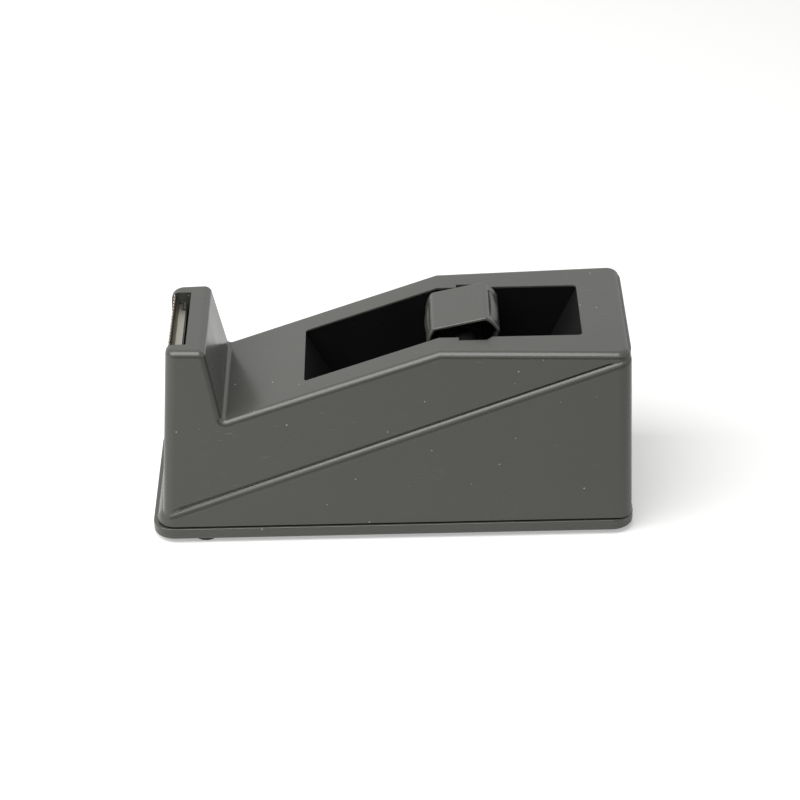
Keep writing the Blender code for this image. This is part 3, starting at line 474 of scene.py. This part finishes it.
def leanSides(bm, depth):
    # trims both sides to their lean, so far inside the outer faces
    for sign in (-1, 1):
        normal = Vector((-shell["sideLean"] * shell["ledgeSlope"], sign, shell["sideLean"])).normalized()
        start = Vector((shell["frontEnd"], sign * shell["bodyHalf"], shell["ledgeFront"]))
        trim(bm, start - normal * depth, normal)


def underLedge(edge):
    return all(v.co.z < ledgeAt(v.co.x) - shell["lap"] / 2 for v in edge.verts)


def shellBody():
    bm = draw(bodyOutline(), -beyond, beyond)
    leanSides(bm, 0.0)
    front = [e for e in bm.edges if runsOn(e, "Z") and middle(e).x < shell["noseBack"]]
    roundOff(bm, front, shell["bodyFrontCorner"], shell["cornerSteps"])
    rear = [e for e in bm.edges if runsOn(e, "Z") and middle(e).x > shell["breakX"]]
    roundOff(bm, rear, shell["bodyRearCorner"], shell["cornerSteps"])
    valley = Vector((shell["valleyX"], 0, shell["valleyZ"]))
    bottom = [e for e in bm.edges if (middle(e) - valley).length < close]
    roundOff(bm, bottom, shell["valleyRound"], shell["edgeSteps"])
    outer = [e for e in sharp(bm) if not underLedge(e)]
    roundOff(bm, outer, shell["bodyRound"], shell["edgeSteps"], clamp=False)
    return bm


def shellSkirt(topRound, rearCorner):
    half = shell["skirtHalf"]
    low = shell["skirtBottom"]
    high = ledgeAt(shell["skirtRear"])
    front = shell["skirtFront"]
    outline = [(front, low), (skirtRearAt(low), low), (skirtRearAt(high), high), (front, ledgeAt(front))]
    bm = draw(outline, -half, half)
    for radius, sign in ((shell["frontCorner"], -1), (rearCorner, 1)):
        corners = [e for e in bm.edges if runsOn(e, "Z") and middle(e).x * sign > 0]
        roundOff(bm, corners, radius, shell["cornerSteps"])
    roundOff(bm, [e for e in sharp(bm) if middle(e).z > low + close], topRound, shell["cornerSteps"])
    roundOff(bm, [e for e in sharp(bm, 60) if middle(e).z < low + close], shell["skirtEdge"], segments=2)
    return bm


def rearRim():
    # behind the deck the ledge stands up as a narrow rim, drawn a hair larger than the skirt so that no
    # faces coincide
    bm = shellSkirt(rim["round"], rim["corner"])
    trim(bm, Vector((shell["skirtRear"] - shell["rearCorner"] / 2, 0, 0)), Vector((-1, 0, 0)))
    trim(bm, Vector((0, 0, rim["low"])), Vector((0, 0, -1)))
    bmesh.ops.scale(bm, vec=rim["grow"], verts=bm.verts)
    return bm


def cove(sign):
    # undercut along the foot of the body's side: a dark line above the ledge, fading out at both ends
    lean = math.atan(shell["ledgeSlope"])
    ends = [(x - shell["frontEnd"]) / math.cos(lean) for x in (undercut["front"], undercut["rear"])]
    bm = rod((0, 0), undercut["radius"], *ends, undercut["steps"])
    for way in (-1, 1):
        end = max(bm.faces, key=lambda face: way * face.calc_center_median().z)
        tips = [v for face in pushOn(bm, [end], (0, 0, way * undercut["run"]), False) for v in face.verts]
        bmesh.ops.scale(bm, vec=undercut["tip"], verts=tips)
        bmesh.ops.translate(bm, vec=(0, sign * undercut["radius"], 0), verts=tips)
    slanted = Matrix.Rotation(math.radians(90) - lean, 3, "Y")
    bmesh.ops.rotate(bm, verts=bm.verts, cent=(0, 0, 0), matrix=slanted)
    start = (shell["frontEnd"], sign * shell["bodyHalf"], shell["ledgeFront"] + undercut["up"])
    bmesh.ops.translate(bm, verts=bm.verts, vec=start)
    return bm


def shellHollow():
    # the profile drawn in by the wall, with the nose left solid above for the cutter's pocket
    bm = bmesh.new()
    deep = shell["hollowLow"]
    outline = [(frontAt(deep), deep), (skirtRearAt(deep) - shell["rearStep"], deep)] + bodyOutline()[2:]
    face = bm.faces.new([bm.verts.new((x, -beyond, z)) for x, z in outline])
    insetFace(bm, face, shell["wall"])
    noseTop = [v for v in face.verts if v.co.x < shell["valleyX"] and v.co.z > shell["valleyZ"]]
    bmesh.ops.translate(bm, verts=noseTop, vec=(shell["noseShift"], 0, shell["wall"] - shell["noseSolid"]))
    pushOn(bm, [face], (0, 2 * beyond, 0))
    bmesh.ops.recalc_face_normals(bm, faces=bm.faces)
    leanSides(bm, shell["wall"])
    for sign in (-1, 1):
        trim(bm, Vector((0, sign * (shell["bodyHalf"] - shell["wall"]), 0)), Vector((0, sign, 0)))
    return bm


def grooveCutter(radius, halfSpan):
    # a slot with a round seat about the hub's axis, open upwards and leaning back
    bm = block((-radius, -halfSpan, -radius), (radius, halfSpan, beyond))
    low = [e for e in bm.edges if runsOn(e, "Y") and middle(e).z < 0]
    roundOff(bm, low, groove["seatShare"] * radius, groove["steps"])
    leaning = Matrix.Rotation(math.radians(groove["lean"]), 3, "Y")
    bmesh.ops.rotate(bm, verts=bm.verts, cent=(0, 0, 0), matrix=leaning)
    bmesh.ops.translate(bm, verts=bm.verts, vec=(hubAxis[0], 0, hubAxis[1]))
    return bm


def leadIn(sign):
    # a wedge behind the groove's mouth, longer towards the well
    lean = math.radians(groove["lean"])
    rise = shell["deckTop"] - hubAxis[1]
    mouth = hubAxis[0] + math.tan(lean) * rise + groove["radius"] / math.cos(lean)
    inner = sign * (2 * well["half"] - groove["halfSpan"])
    outer = sign * groove["halfSpan"]
    start = mouth - groove["radius"]
    outline = [(start, inner), (mouth + 2 * groove["leadIn"], inner), (mouth, outer), (start, outer)]
    low, high = shell["deckTop"] - groove["leadInDeep"], shell["deckTop"] + groove["leadInRise"]
    return draw(outline, low, high, "Z")


def pocketCutter():
    low = pocket["bottom"] - pocket["slotDeep"]
    high, ahead = pocket["above"], pocket["ahead"]
    outline = [
        (pocket["rear"], low), (pocket["rear"], high), (ahead, high), (ahead, low), (pocket["lipLow"], low),
        (pocket["lip"], pocket["bottom"]), (pocket["slotFront"], pocket["bottom"]),
        (pocket["slotFront"], low),
    ]
    return draw(outline, -pocket["half"], pocket["half"])


def bladeStub(sign):
    ys = sorted((sign * stub["inner"], sign * (pocket["half"] + stub["sunk"])))
    return block((stub["front"], ys[0], stub["low"]), (stub["rear"], ys[1], stub["high"]))


def wellCutter():
    low = (well["front"], -well["half"], rebate["low"])
    bm = block(low, (well["rear"], well["half"], well["above"]))
    roundOff(bm, [e for e in bm.edges if runsOn(e, "Z")], well["corner"], segments=5)
    return bm


def rebateCutter():
    # room for the tub's rim, up to a thin lip of deck
    front, rear = well["front"] - rebate["ends"], well["rear"] + rebate["ends"]
    half = well["half"] + rebate["sides"]
    low, top = rebate["low"], shell["deckTop"] - well["lip"]
    outline = [
        (front, low), (rear, low), (rear, top), (shell["breakX"], top), (front, slopeAt(front) - well["lip"]),
    ]
    return draw(outline, -half, half)


def onDeckRim(edge):
    x, y, z = middle(edge)
    inLength = well["front"] - close < x < well["rear"] + close
    return inLength and abs(y) < groove["halfSpan"] + close and abs(z - slopeAt(x)) < close


def makeShell():
    skirt = shellSkirt(shell["ledgeRound"], shell["rearCorner"])
    bm = fuse(cut(shellBody(), cove(-1), cove(1)), skirt, rearRim())
    bm = cut(bm, shellHollow(), wellCutter(), rebateCutter())
    bm = cut(bm, grooveCutter(groove["radius"], groove["halfSpan"]), leadIn(-1), leadIn(1), pocketCutter())
    bm = fuse(bm, bladeStub(-1), bladeStub(1))
    bmesh.ops.dissolve_limit(bm, angle_limit=math.radians(0.2), verts=bm.verts, edges=bm.edges)
    roundOff(bm, [e for e in sharp(bm, 40) if onDeckRim(e)], well["edge"], segments=2, clamp=False)
    addPiece("upperShell", bm, greyAbs, "housing", "grey_abs", "upper_shell")


makeShell()


# base plate: tray with a rounded rim under the parting line, recesses below for screws and feet
plate = {
    "halfLength": 75.0, "half": 30.5, "bottom": 1.5, "top": 5.2, "corner": 7.0,
    "lowEdge": 0.8, "topEdge": 0.4, "holeEdge": 0.2,
    "lipFront": -69.19, "lipRear": 71.65, "lipHalf": 26.4, "lipFrom": 2.6, "lipTop": 8.7, "lipWall": 1.6,
    "floor": 3.7, "cup": 4.84, "headHole": 3.4, "headSeat": 6.3, "screwHole": 1.7,
    "footSeat": 4.3, "footDeep": 2.8, "below": -10.0, "above": 20.0,
}
screwPlaces = {
    "front_left_screw": (-40.0, -21.0), "front_right_screw": (-40.0, 21.0),
    "rear_left_screw": (65.0, -15.0), "rear_right_screw": (65.0, 15.0),
}
footPlaces = {
    "front_left_foot": (-58.5, -25.0), "front_right_foot": (-58.5, 25.0),
    "rear_left_foot": (57.0, -21.5), "rear_right_foot": (57.0, 21.5),
}


def roundedBlock(low, high, radius, segments):
    bm = block(low, high)
    roundOff(bm, [e for e in bm.edges if runsOn(e, "Z")], radius, segments)
    return bm


def makePlate():
    low = (-plate["halfLength"], -plate["half"], plate["bottom"])
    high = (plate["halfLength"], plate["half"], plate["top"])
    bm = roundedBlock(low, high, plate["corner"], segments=14)
    midHeight = (plate["bottom"] + plate["top"]) / 2
    roundOff(bm, [e for e in sharp(bm, 60) if middle(e).z < midHeight], plate["lowEdge"], segments=4)
    roundOff(bm, [e for e in sharp(bm, 60) if middle(e).z > midHeight], plate["topEdge"], segments=3)
    wall = plate["lipWall"]
    lipLow = (plate["lipFront"], -plate["lipHalf"], plate["lipFrom"])
    lipHigh = (plate["lipRear"], plate["lipHalf"], plate["lipTop"])
    bm = fuse(bm, roundedBlock(lipLow, lipHigh, 2 * wall, segments=6))
    inLow = (lipLow[0] + wall, lipLow[1] + wall, plate["floor"])
    inHigh = (lipHigh[0] - wall, lipHigh[1] - wall, plate["above"])
    bm = cut(bm, roundedBlock(inLow, inHigh, wall, segments=5))
    for place in screwPlaces.values():
        bm = fuse(bm, rod(place, plate["cup"], plate["lipFrom"], plate["lipTop"]))
        bm = cut(bm, rod(place, plate["headHole"], plate["below"], plate["headSeat"]))
        bm = cut(bm, rod(place, plate["screwHole"], plate["below"], plate["above"], steps=32))
    for place in footPlaces.values():
        bm = cut(bm, rod(place, plate["footSeat"], plate["below"], plate["footDeep"]))
    holes = [e for e in sharp(bm, 60) if abs(middle(e).z - plate["bottom"]) < close]
    roundOff(bm, holes, plate["holeEdge"], segments=2, clamp=False)
    addPiece("basePlate", bm, greyAbs, "housing", "grey_abs", "base_plate")


makePlate()


# tape well: black tub with a round floor about the hub's axis and two slanted grooves
tub = {
    "frontRim": (-26.5, 48.45), "rampFoot": (-15.85, 27.55),
    "rearFoot": (42.6, 27.55), "rearRim": (59.0, 62.7), "rimTop": 62.7,
    "half": 16.0, "wall": 1.2, "rampRound": 3.68, "floorRound": 19.2, "steps": 14,
    "earWall": 2.2, "earSpan": 19.4, "earTop": 61.1, "open": 4.0,
}


def tubSolid(grow):
    # the space inside the tub, grown by a wall
    half = tub["half"] + grow
    points = [tub[name] for name in ("frontRim", "rampFoot", "rearFoot", "rearRim")]
    points.append((shell["breakX"], tub["rimTop"]))
    bm = bmesh.new()
    face = bm.faces.new([bm.verts.new((x, -half, z)) for x, z in points])
    if grow:
        insetFace(bm, face, -grow)
    pushOn(bm, [face], (0, 2 * half, 0))
    bmesh.ops.recalc_face_normals(bm, faces=bm.faces)
    low = [e for e in bm.edges if runsOn(e, "Y") and middle(e).z < tub["rampFoot"][1] + close]
    for radius, sign in ((tub["rampRound"], -1), (tub["floorRound"], 1)):
        roundOff(bm, [e for e in low if e.is_valid and middle(e).x * sign > 0], radius, tub["steps"])
    return bm


def tubOpening():
    # the space inside, carried on through the top
    bm = tubSolid(0.0)
    rise = tub["open"]
    for upper, lower in (("frontRim", "rampFoot"), ("rearRim", "rearFoot")):
        (topX, topZ), (footX, footZ) = tub[upper], tub[lower]
        ends = [v for v in bm.verts if abs(v.co.x - topX) < close and abs(v.co.z - topZ) < close]
        bmesh.ops.translate(bm, verts=ends, vec=(rise * (topX - footX) / (topZ - footZ), 0, rise))
    crown = [v for v in bm.verts if abs(v.co.x - shell["breakX"]) < close]
    bmesh.ops.translate(bm, verts=crown, vec=(0, 0, rise))
    return bm


def makeTub():
    ears = grooveCutter(groove["radius"] + tub["earWall"], tub["earSpan"])
    trim(ears, Vector((0, 0, tub["earTop"])), Vector((0, 0, 1)))
    bm = fuse(tubSolid(tub["wall"]), ears)
    bm = cut(bm, tubOpening(), grooveCutter(groove["radius"], groove["halfSpan"]))
    crown = Vector((shell["breakX"], 0, tub["rimTop"]))
    frontX, frontZ = tub["frontRim"]
    trim(bm, crown, Vector((0, 0, 1)))
    trim(bm, crown, Vector((frontZ - crown.z, 0, crown.x - frontX)).normalized())
    addPiece("tapeWell", bm, blackAbs, "housing", "black_abs", "tape_well")


makeTub()


# cutter: strip bent to an L, with ground teeth along the edge that leans forward
blade = {
    "front": -66.48, "rear": -63.78, "bottom": 59.0, "thick": 0.6, "half": 16.4, "root": 62.2, "tip": 63.5,
    "lean": 0.25, "teeth": 16, "tipGround": 0.42, "rootGround": 0.126, "grindLow": 0.35,
    "notch": 1.1, "notchLength": 4.3, "bend": 0.45,
}


def bladeNotch(sign):
    ys = sorted((sign * (blade["half"] - blade["notchLength"]), sign * (blade["half"] + beyond)))
    low = (blade["rear"] - blade["notch"], ys[0], blade["bottom"] - beyond)
    return block(low, (blade["rear"] + beyond, ys[1], blade["bottom"] + beyond))


def makeBlade():
    front, half, low, root = blade["front"], blade["half"], blade["bottom"], blade["root"]
    inside, top = front + blade["thick"], low + blade["thick"]
    bm = cut(block((front, -half, low), (blade["rear"], half, top)), bladeNotch(-1), bladeNotch(1))
    sliceAt(bm, (inside, 0, 0), (1, 0, 0))
    edge = [f for f in bm.faces if f.normal.z > 0.9 and f.calc_center_median().x < inside]
    pushOn(bm, edge, (0, 0, root - top), False)
    sliceAt(bm, (0, 0, root - blade["grindLow"]), (0, 0, 1))
    corner = Vector((front, 0, low))
    heel = [e for e in bm.edges if runsOn(e, "Y") and (middle(e) - corner).length < close]
    roundOff(bm, heel, blade["bend"], segments=4)
    pitch = 2 * half / blade["teeth"]
    for i in range(1, 2 * blade["teeth"]):
        sliceAt(bm, (0, i * pitch / 2 - half, 0), (0, 1, 0))
    for v in [v for v in bm.verts if v.co.z > root - close]:
        # a tip stands halfway along each pitch
        isTip = 0.25 < (v.co.y + half) / pitch % 1.0 < 0.75
        if isTip:
            v.co.z = blade["tip"]
        if v.co.x > front + close:
            v.co.x -= blade["tipGround"] if isTip else blade["rootGround"]
    for v in bm.verts:
        v.co.x -= blade["lean"] * max(0.0, v.co.z - low - blade["bend"])
    bmesh.ops.recalc_face_normals(bm, faces=bm.faces)
    addPiece("cutterBlade", bm, bladeSteel, "housing", "blade_steel", "cutter_blade", smoothAngle=25)


makeBlade()


# hub: thin tube of three round lobes between flats, a web and bush inside, and a sprung tongue in each lobe
hub = {
    "half": 11.8, "radius": 12.0, "flat": 8.6, "corner": 1.6, "wall": 0.8, "lobes": 3, "firstLobe": 42.0,
    "lobeSteps": 16, "cornerSteps": 8, "edge": 0.7, "edgeSteps": 6,
    "web": 1.0, "bushHalf": 5.0, "bore": 3.9, "bush": 5.1,
    "tongueWide": 3.0, "tongueFrom": -8.6, "tongueTo": 7.8, "tongueRoot": 1.0, "tongueOut": 11.9,
    "tongueThick": 0.6, "tongueSteps": 14, "tongueArc": 10, "bow": 0.75, "slit": 0.4,
}


def lobeAngle(k):
    return math.radians(hub["firstLobe"] + 360 * k / hub["lobes"])


def addArc(bm, away, facing, radius, start, sweep, steps):
    # an arc of edges across the hub's axis, about a centre that lies so far from the axis in one direction
    centre = Vector((away * math.cos(facing), 0, away * math.sin(facing)))
    point = bm.verts.new(centre + radius * Vector((math.cos(start), 0, math.sin(start))))
    bmesh.ops.spin(bm, geom=[point], cent=centre, axis=(0, -1, 0), angle=sweep, steps=steps)


def lobedBar(drawnIn, low, high):
    # the hub's section, drawn in by a wall, swept along the axis
    reach = hub["radius"] - hub["corner"]
    lean = math.acos((hub["flat"] - hub["corner"]) / reach)
    corner = hub["corner"] - drawnIn
    halfTurn = math.pi / hub["lobes"]
    bm = bmesh.new()
    for k in range(hub["lobes"]):
        start, end = lobeAngle(k) - halfTurn, lobeAngle(k) + halfTurn
        first, last = start + lean, end - lean
        addArc(bm, reach, first, corner, start, lean, hub["cornerSteps"])
        addArc(bm, 0.0, 0.0, hub["radius"] - drawnIn, first, last - first, hub["lobeSteps"])
        addArc(bm, reach, last, corner, last, lean, hub["cornerSteps"])
    bmesh.ops.remove_doubles(bm, verts=bm.verts, dist=0.001)
    ring = sorted(bm.verts, key=lambda v: math.atan2(v.co.z, v.co.x))
    section = bm.faces.new(ring)
    bmesh.ops.translate(bm, verts=bm.verts, vec=(0, low, 0))
    pushOn(bm, [section], (0, high - low, 0))
    bmesh.ops.recalc_face_normals(bm, faces=bm.faces)
    return bm


def lobeStrip(k, inner, outer, wide, low):
    # a flat ring sector across the wall of a lobe, square to the hub's axis
    spread = wide / hub["radius"]
    start = lobeAngle(k) - spread / 2
    bm = bmesh.new()
    ends = [bm.verts.new((r * math.cos(start), low, r * math.sin(start))) for r in (inner, outer)]
    line = ends + [bm.edges.new(ends)]
    bmesh.ops.spin(bm, geom=line, cent=(0, 0, 0), axis=(0, -1, 0), angle=spread, steps=hub["tongueArc"])
    return bm


def tongueWindow(k):
    low = hub["tongueFrom"] - hub["slit"]
    wide = hub["tongueWide"] + 2 * hub["slit"]
    bm = lobeStrip(k, hub["radius"] - 2 * hub["wall"], 1.5 * hub["radius"], wide, low)
    pushOn(bm, bm.faces[:], (0, hub["tongueTo"] - low, 0))
    bmesh.ops.recalc_face_normals(bm, faces=bm.faces)
    return bm


def tongue(k):
    # a strip of the lobe's wall, crowned on the outside, with its root in the wall beyond the window
    inner = hub["tongueOut"] - hub["tongueThick"]
    low, high = hub["tongueFrom"], hub["tongueTo"]
    bm = lobeStrip(k, inner, hub["tongueOut"], hub["tongueWide"], low)
    faces = bm.faces[:]
    for i in range(hub["tongueSteps"]):
        faces = pushOn(bm, faces, (0, (high - low) / hub["tongueSteps"], 0), i == 0)
    pushOn(bm, faces, (0, hub["tongueRoot"], 0), False)
    outwards = Vector((math.cos(lobeAngle(k)), 0, math.sin(lobeAngle(k))))
    for v in bm.verts:
        share = (v.co.y - low) / (high - low)
        if Vector((v.co.x, v.co.z)).length > inner + close and share < 1:
            v.co += hub["bow"] * math.sin(math.pi * share) * outwards
    bmesh.ops.recalc_face_normals(bm, faces=bm.faces)
    return bm


def makeHub():
    bm = lobedBar(0.0, -hub["half"], hub["half"])
    roundOff(bm, sharp(bm, 60), hub["edge"], hub["edgeSteps"])
    wall, web = hub["wall"], hub["web"]
    bm = cut(bm, lobedBar(wall, -beyond, -web), lobedBar(wall, web, beyond))
    bm = fuse(bm, layOnY(rod((0, 0), hub["bush"], -hub["bushHalf"], hub["bushHalf"])))
    bm = cut(bm, layOnY(rod((0, 0), hub["bore"], -beyond, beyond, steps=64)))
    for k in range(hub["lobes"]):
        bm = fuse(cut(bm, tongueWindow(k)), tongue(k))
    bmesh.ops.translate(bm, verts=bm.verts, vec=(hubAxis[0], 0, hubAxis[1]))
    addPiece("hubBarrel", bm, hubAbs, "hub", "hub_abs", "hub_barrel")


makeHub()


# axle: turned pin with a collar at one end of the bush and a snap ridge at the other
axle = {
    "half": 17.4, "radius": 3.6, "chamfer": 0.5, "chamferBulge": 0.15, "bushEnd": 5.3,
    "collar": 5.0, "collarWide": 1.2, "collarEdge": 0.2, "ridge": 4.2, "ridgeWide": 0.8,
}


def makeAxle():
    half, radius, bushEnd = axle["half"], axle["radius"], axle["bushEnd"]
    chamfer, bulge = axle["chamfer"], axle["chamferBulge"]
    collar, edge, wide = axle["collar"], axle["collarEdge"], axle["ridgeWide"]
    collarEnd = bushEnd + axle["collarWide"]
    profile = [
        (0, -half), (radius - chamfer, -half), (radius - bulge, -half + bulge), (radius, -half + chamfer),
        (radius, -bushEnd - wide), (axle["ridge"], -bushEnd - wide / 2), (radius, -bushEnd),
        (radius, bushEnd), (collar - edge, bushEnd), (collar, bushEnd + edge),
        (collar, collarEnd - edge), (collar - edge, collarEnd), (radius, collarEnd),
        (radius, half - chamfer), (radius - bulge, half - bulge), (radius - chamfer, half), (0, half),
    ]
    bm = layOnY(turn(profile))
    bmesh.ops.translate(bm, verts=bm.verts, vec=(hubAxis[0], 0, hubAxis[1]))
    addPiece("hubAxle", bm, blackAbs, "axle", "black_abs", "hub_axle")


makeAxle()


# small parts below: rubber feet and pan head screws with a cross recess
# a foot's edge is given in shares of its round, a screw's crown in shares of the head's radius and height
foot = {
    "radius": 4.0, "top": 2.5, "edge": 0.5, "edgeShares": ((0, 1), (0.15, 0.4), (0.5, 0.1), (1, 0)),
    "steps": 48,
}
screw = {
    "seat": 6.0, "head": 3.1, "headHigh": 2.2,
    "crown": ((1, 0.45), (0.93, 0.75), (0.75, 0.92), (0.45, 1), (0, 1)),
    "shank": 1.4, "tip": 20.0, "point": 3.0, "blunt": 0.56, "bluntLong": 0.5,
    "crossWide": 0.8, "crossLong": 3.4, "crossDeep": 1.2, "steps": 40,
}


def pieceName(node):
    first, *rest = node.split("_")
    return first + "".join(word.title() for word in rest)


def makeFoot(node, place):
    radius, edge = foot["radius"], foot["edge"]
    profile = [(0, foot["top"]), (radius, foot["top"])]
    profile += [(radius - inset * edge, rise * edge) for inset, rise in foot["edgeShares"]] + [(0, 0)]
    bm = turn(profile, foot["steps"])
    bmesh.ops.translate(bm, verts=bm.verts, vec=(*place, 0))
    addPiece(pieceName(node), bm, footRubber, "housing", "black_rubber", node)


def makeScrew(node, place):
    head, high, shank, seat, tip = (screw[key] for key in ("head", "headHigh", "shank", "seat", "tip"))
    profile = [(0, tip), (screw["blunt"], tip - screw["bluntLong"]), (shank, tip - screw["point"])]
    profile += [(shank, seat), (head, seat)]
    profile += [(out * head, seat - down * high) for out, down in screw["crown"]]
    bm = turn(profile, screw["steps"])
    wide, longSide = screw["crossWide"] / 2, screw["crossLong"] / 2
    low, deep = seat - high - beyond, seat - high + screw["crossDeep"]
    bm = cut(bm, block((-wide, -longSide, low), (wide, longSide, deep)))
    bm = cut(bm, block((-longSide, -wide, low), (longSide, wide, deep)))
    bmesh.ops.translate(bm, verts=bm.verts, vec=(*place, 0))
    addPiece(pieceName(node), bm, zincSteel, "housing", "zinc_plated_steel", node)


for node, place in footPlaces.items():
    makeFoot(node, place)
for node, place in screwPlaces.items():
    makeScrew(node, place)

# the ballast and its screws, shut inside, keep their CAD solids
for name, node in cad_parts.items():
    if "ballast" in name:
        node.data.materials.clear()
        node.data.materials.append(zincSteel if "screw" in name else castIron)


# studio: white table, a wide panel above on the camera's side, a black card low in front
studio = {
    "floor": "F4F4F2", "floorSize": 12.0, "floorGlow": 0.42, "floorMirrored": 0.28,
    "key": 4.4, "keySize": (1.6, 0.8), "keyUp": 73.5, "keyAway": 1.0, "keyLeft": 0.66,
    "card": "050505", "cardAway": 1.0, "cardHeight": 0.55, "cardWidth": 3.0, "fill": 0.08,
}
white = (1, 1, 1, 1)


def addLamp(name, size, radiance, place, target):
    lamp = bpy.data.lights.new(name, "AREA")
    lamp.shape = "RECTANGLE"
    lamp.size, lamp.size_y = size
    lamp.energy = radiance * math.pi * size[0] * size[1]
    obj = bpy.data.objects.new(name, lamp)
    scene.collection.objects.link(obj)
    obj.location = place
    obj.rotation_euler = (Vector(target) - Vector(place)).to_track_quat("-Z", "Y").to_euler()


def seenDirectly(tree, direct, mirrored):
    # strength for rays from the camera, and off gloss or through glass; 0 for light that falls on the object
    rays = addNode(tree, "ShaderNodeLightPath").outputs
    value = maths(tree, "MULTIPLY", rays["Is Camera Ray"], direct)
    for kind in ("Is Glossy Ray", "Is Transmission Ray"):
        value = maths(tree, "MAXIMUM", value, maths(tree, "MULTIPLY", rays[kind], mirrored))
    return value


def addStage(name, size, matrix, material):
    bm = bmesh.new()
    whole = matrix @ Matrix.Diagonal((*size, 1, 1))
    bmesh.ops.create_grid(bm, x_segments=1, y_segments=1, size=0.5, matrix=whole)
    obj = toObject(bm, name)
    obj.data.materials.append(material)
    return obj


up = math.radians(studio["keyUp"])
keyX = -studio["keyLeft"]
keyPlace = (keyX, -studio["keyAway"] * math.cos(up), studio["keyAway"] * math.sin(up))
addLamp("keyPanel", studio["keySize"], studio["key"], keyPlace, (keyX, 0, 0))

tableTop, tree, shader = startMaterial(
    "whiteTable",
    {"Roughness": 0.9, "IOR": 1.3, "Base Color": hexColour(studio["floor"]), "Emission Color": white},
)
glow = seenDirectly(tree, studio["floorGlow"], studio["floorMirrored"])
tree.links.new(glow, shader.inputs["Emission Strength"])
addStage("tableTop", (studio["floorSize"], studio["floorSize"]), Matrix.Identity(4), tableTop)

cardBlack = startMaterial(
    "blackCard", {"Roughness": 1.0, "Specular IOR Level": 0.0, "Base Color": hexColour(studio["card"])}
)[0]
cardPlace = Matrix.Translation((0, -studio["cardAway"], studio["cardHeight"] / 2))
upright = cardPlace @ Matrix.Rotation(math.radians(90), 4, "X")
card = addStage("blackCard", (studio["cardWidth"], studio["cardHeight"]), upright, cardBlack)
card.visible_camera = False

world = bpy.data.worlds.new("studio")
scene.world = world
world.use_nodes = True
tree = world.node_tree
background = tree.nodes["Background"]
background.inputs["Color"].default_value = white
strength = maths(tree, "MAXIMUM", seenDirectly(tree, 1.0, 1.0), studio["fill"])
tree.links.new(strength, background.inputs["Strength"])
print("studio ready")


# camera at the photograph's angle
cameraSet = {
    "azimuth": 0.087, "elevation": 30.58, "roll": -1.277, "target": (2.885, 0.0, 32.36), "away": 893.5,
    "lens": 127.485, "sensor": 36.0, "nearest": 10.0,
}
azimuth, elevation, roll = (math.radians(cameraSet[key]) for key in ("azimuth", "elevation", "roll"))
level = math.cos(elevation)
back = Vector((math.sin(azimuth) * level, -math.cos(azimuth) * level, math.sin(elevation)))
right = Vector((math.cos(azimuth), math.sin(azimuth), 0))
top = back.cross(right)
turned = [math.cos(roll) * right + math.sin(roll) * top, math.cos(roll) * top - math.sin(roll) * right, back]
lens = bpy.data.cameras.new("camera")
lens.sensor_width = cameraSet["sensor"]
lens.lens = cameraSet["lens"]
lens.clip_start = cameraSet["nearest"] * mm
camera = bpy.data.objects.new("camera", lens)
scene.collection.objects.link(camera)
spot = (Vector(cameraSet["target"]) + back * cameraSet["away"]) * mm
camera.matrix_world = Matrix.Translation(spot) @ Matrix(turned).transposed().to_4x4()
scene.camera = camera
scene.view_settings.view_transform = "Standard"
print("camera set")
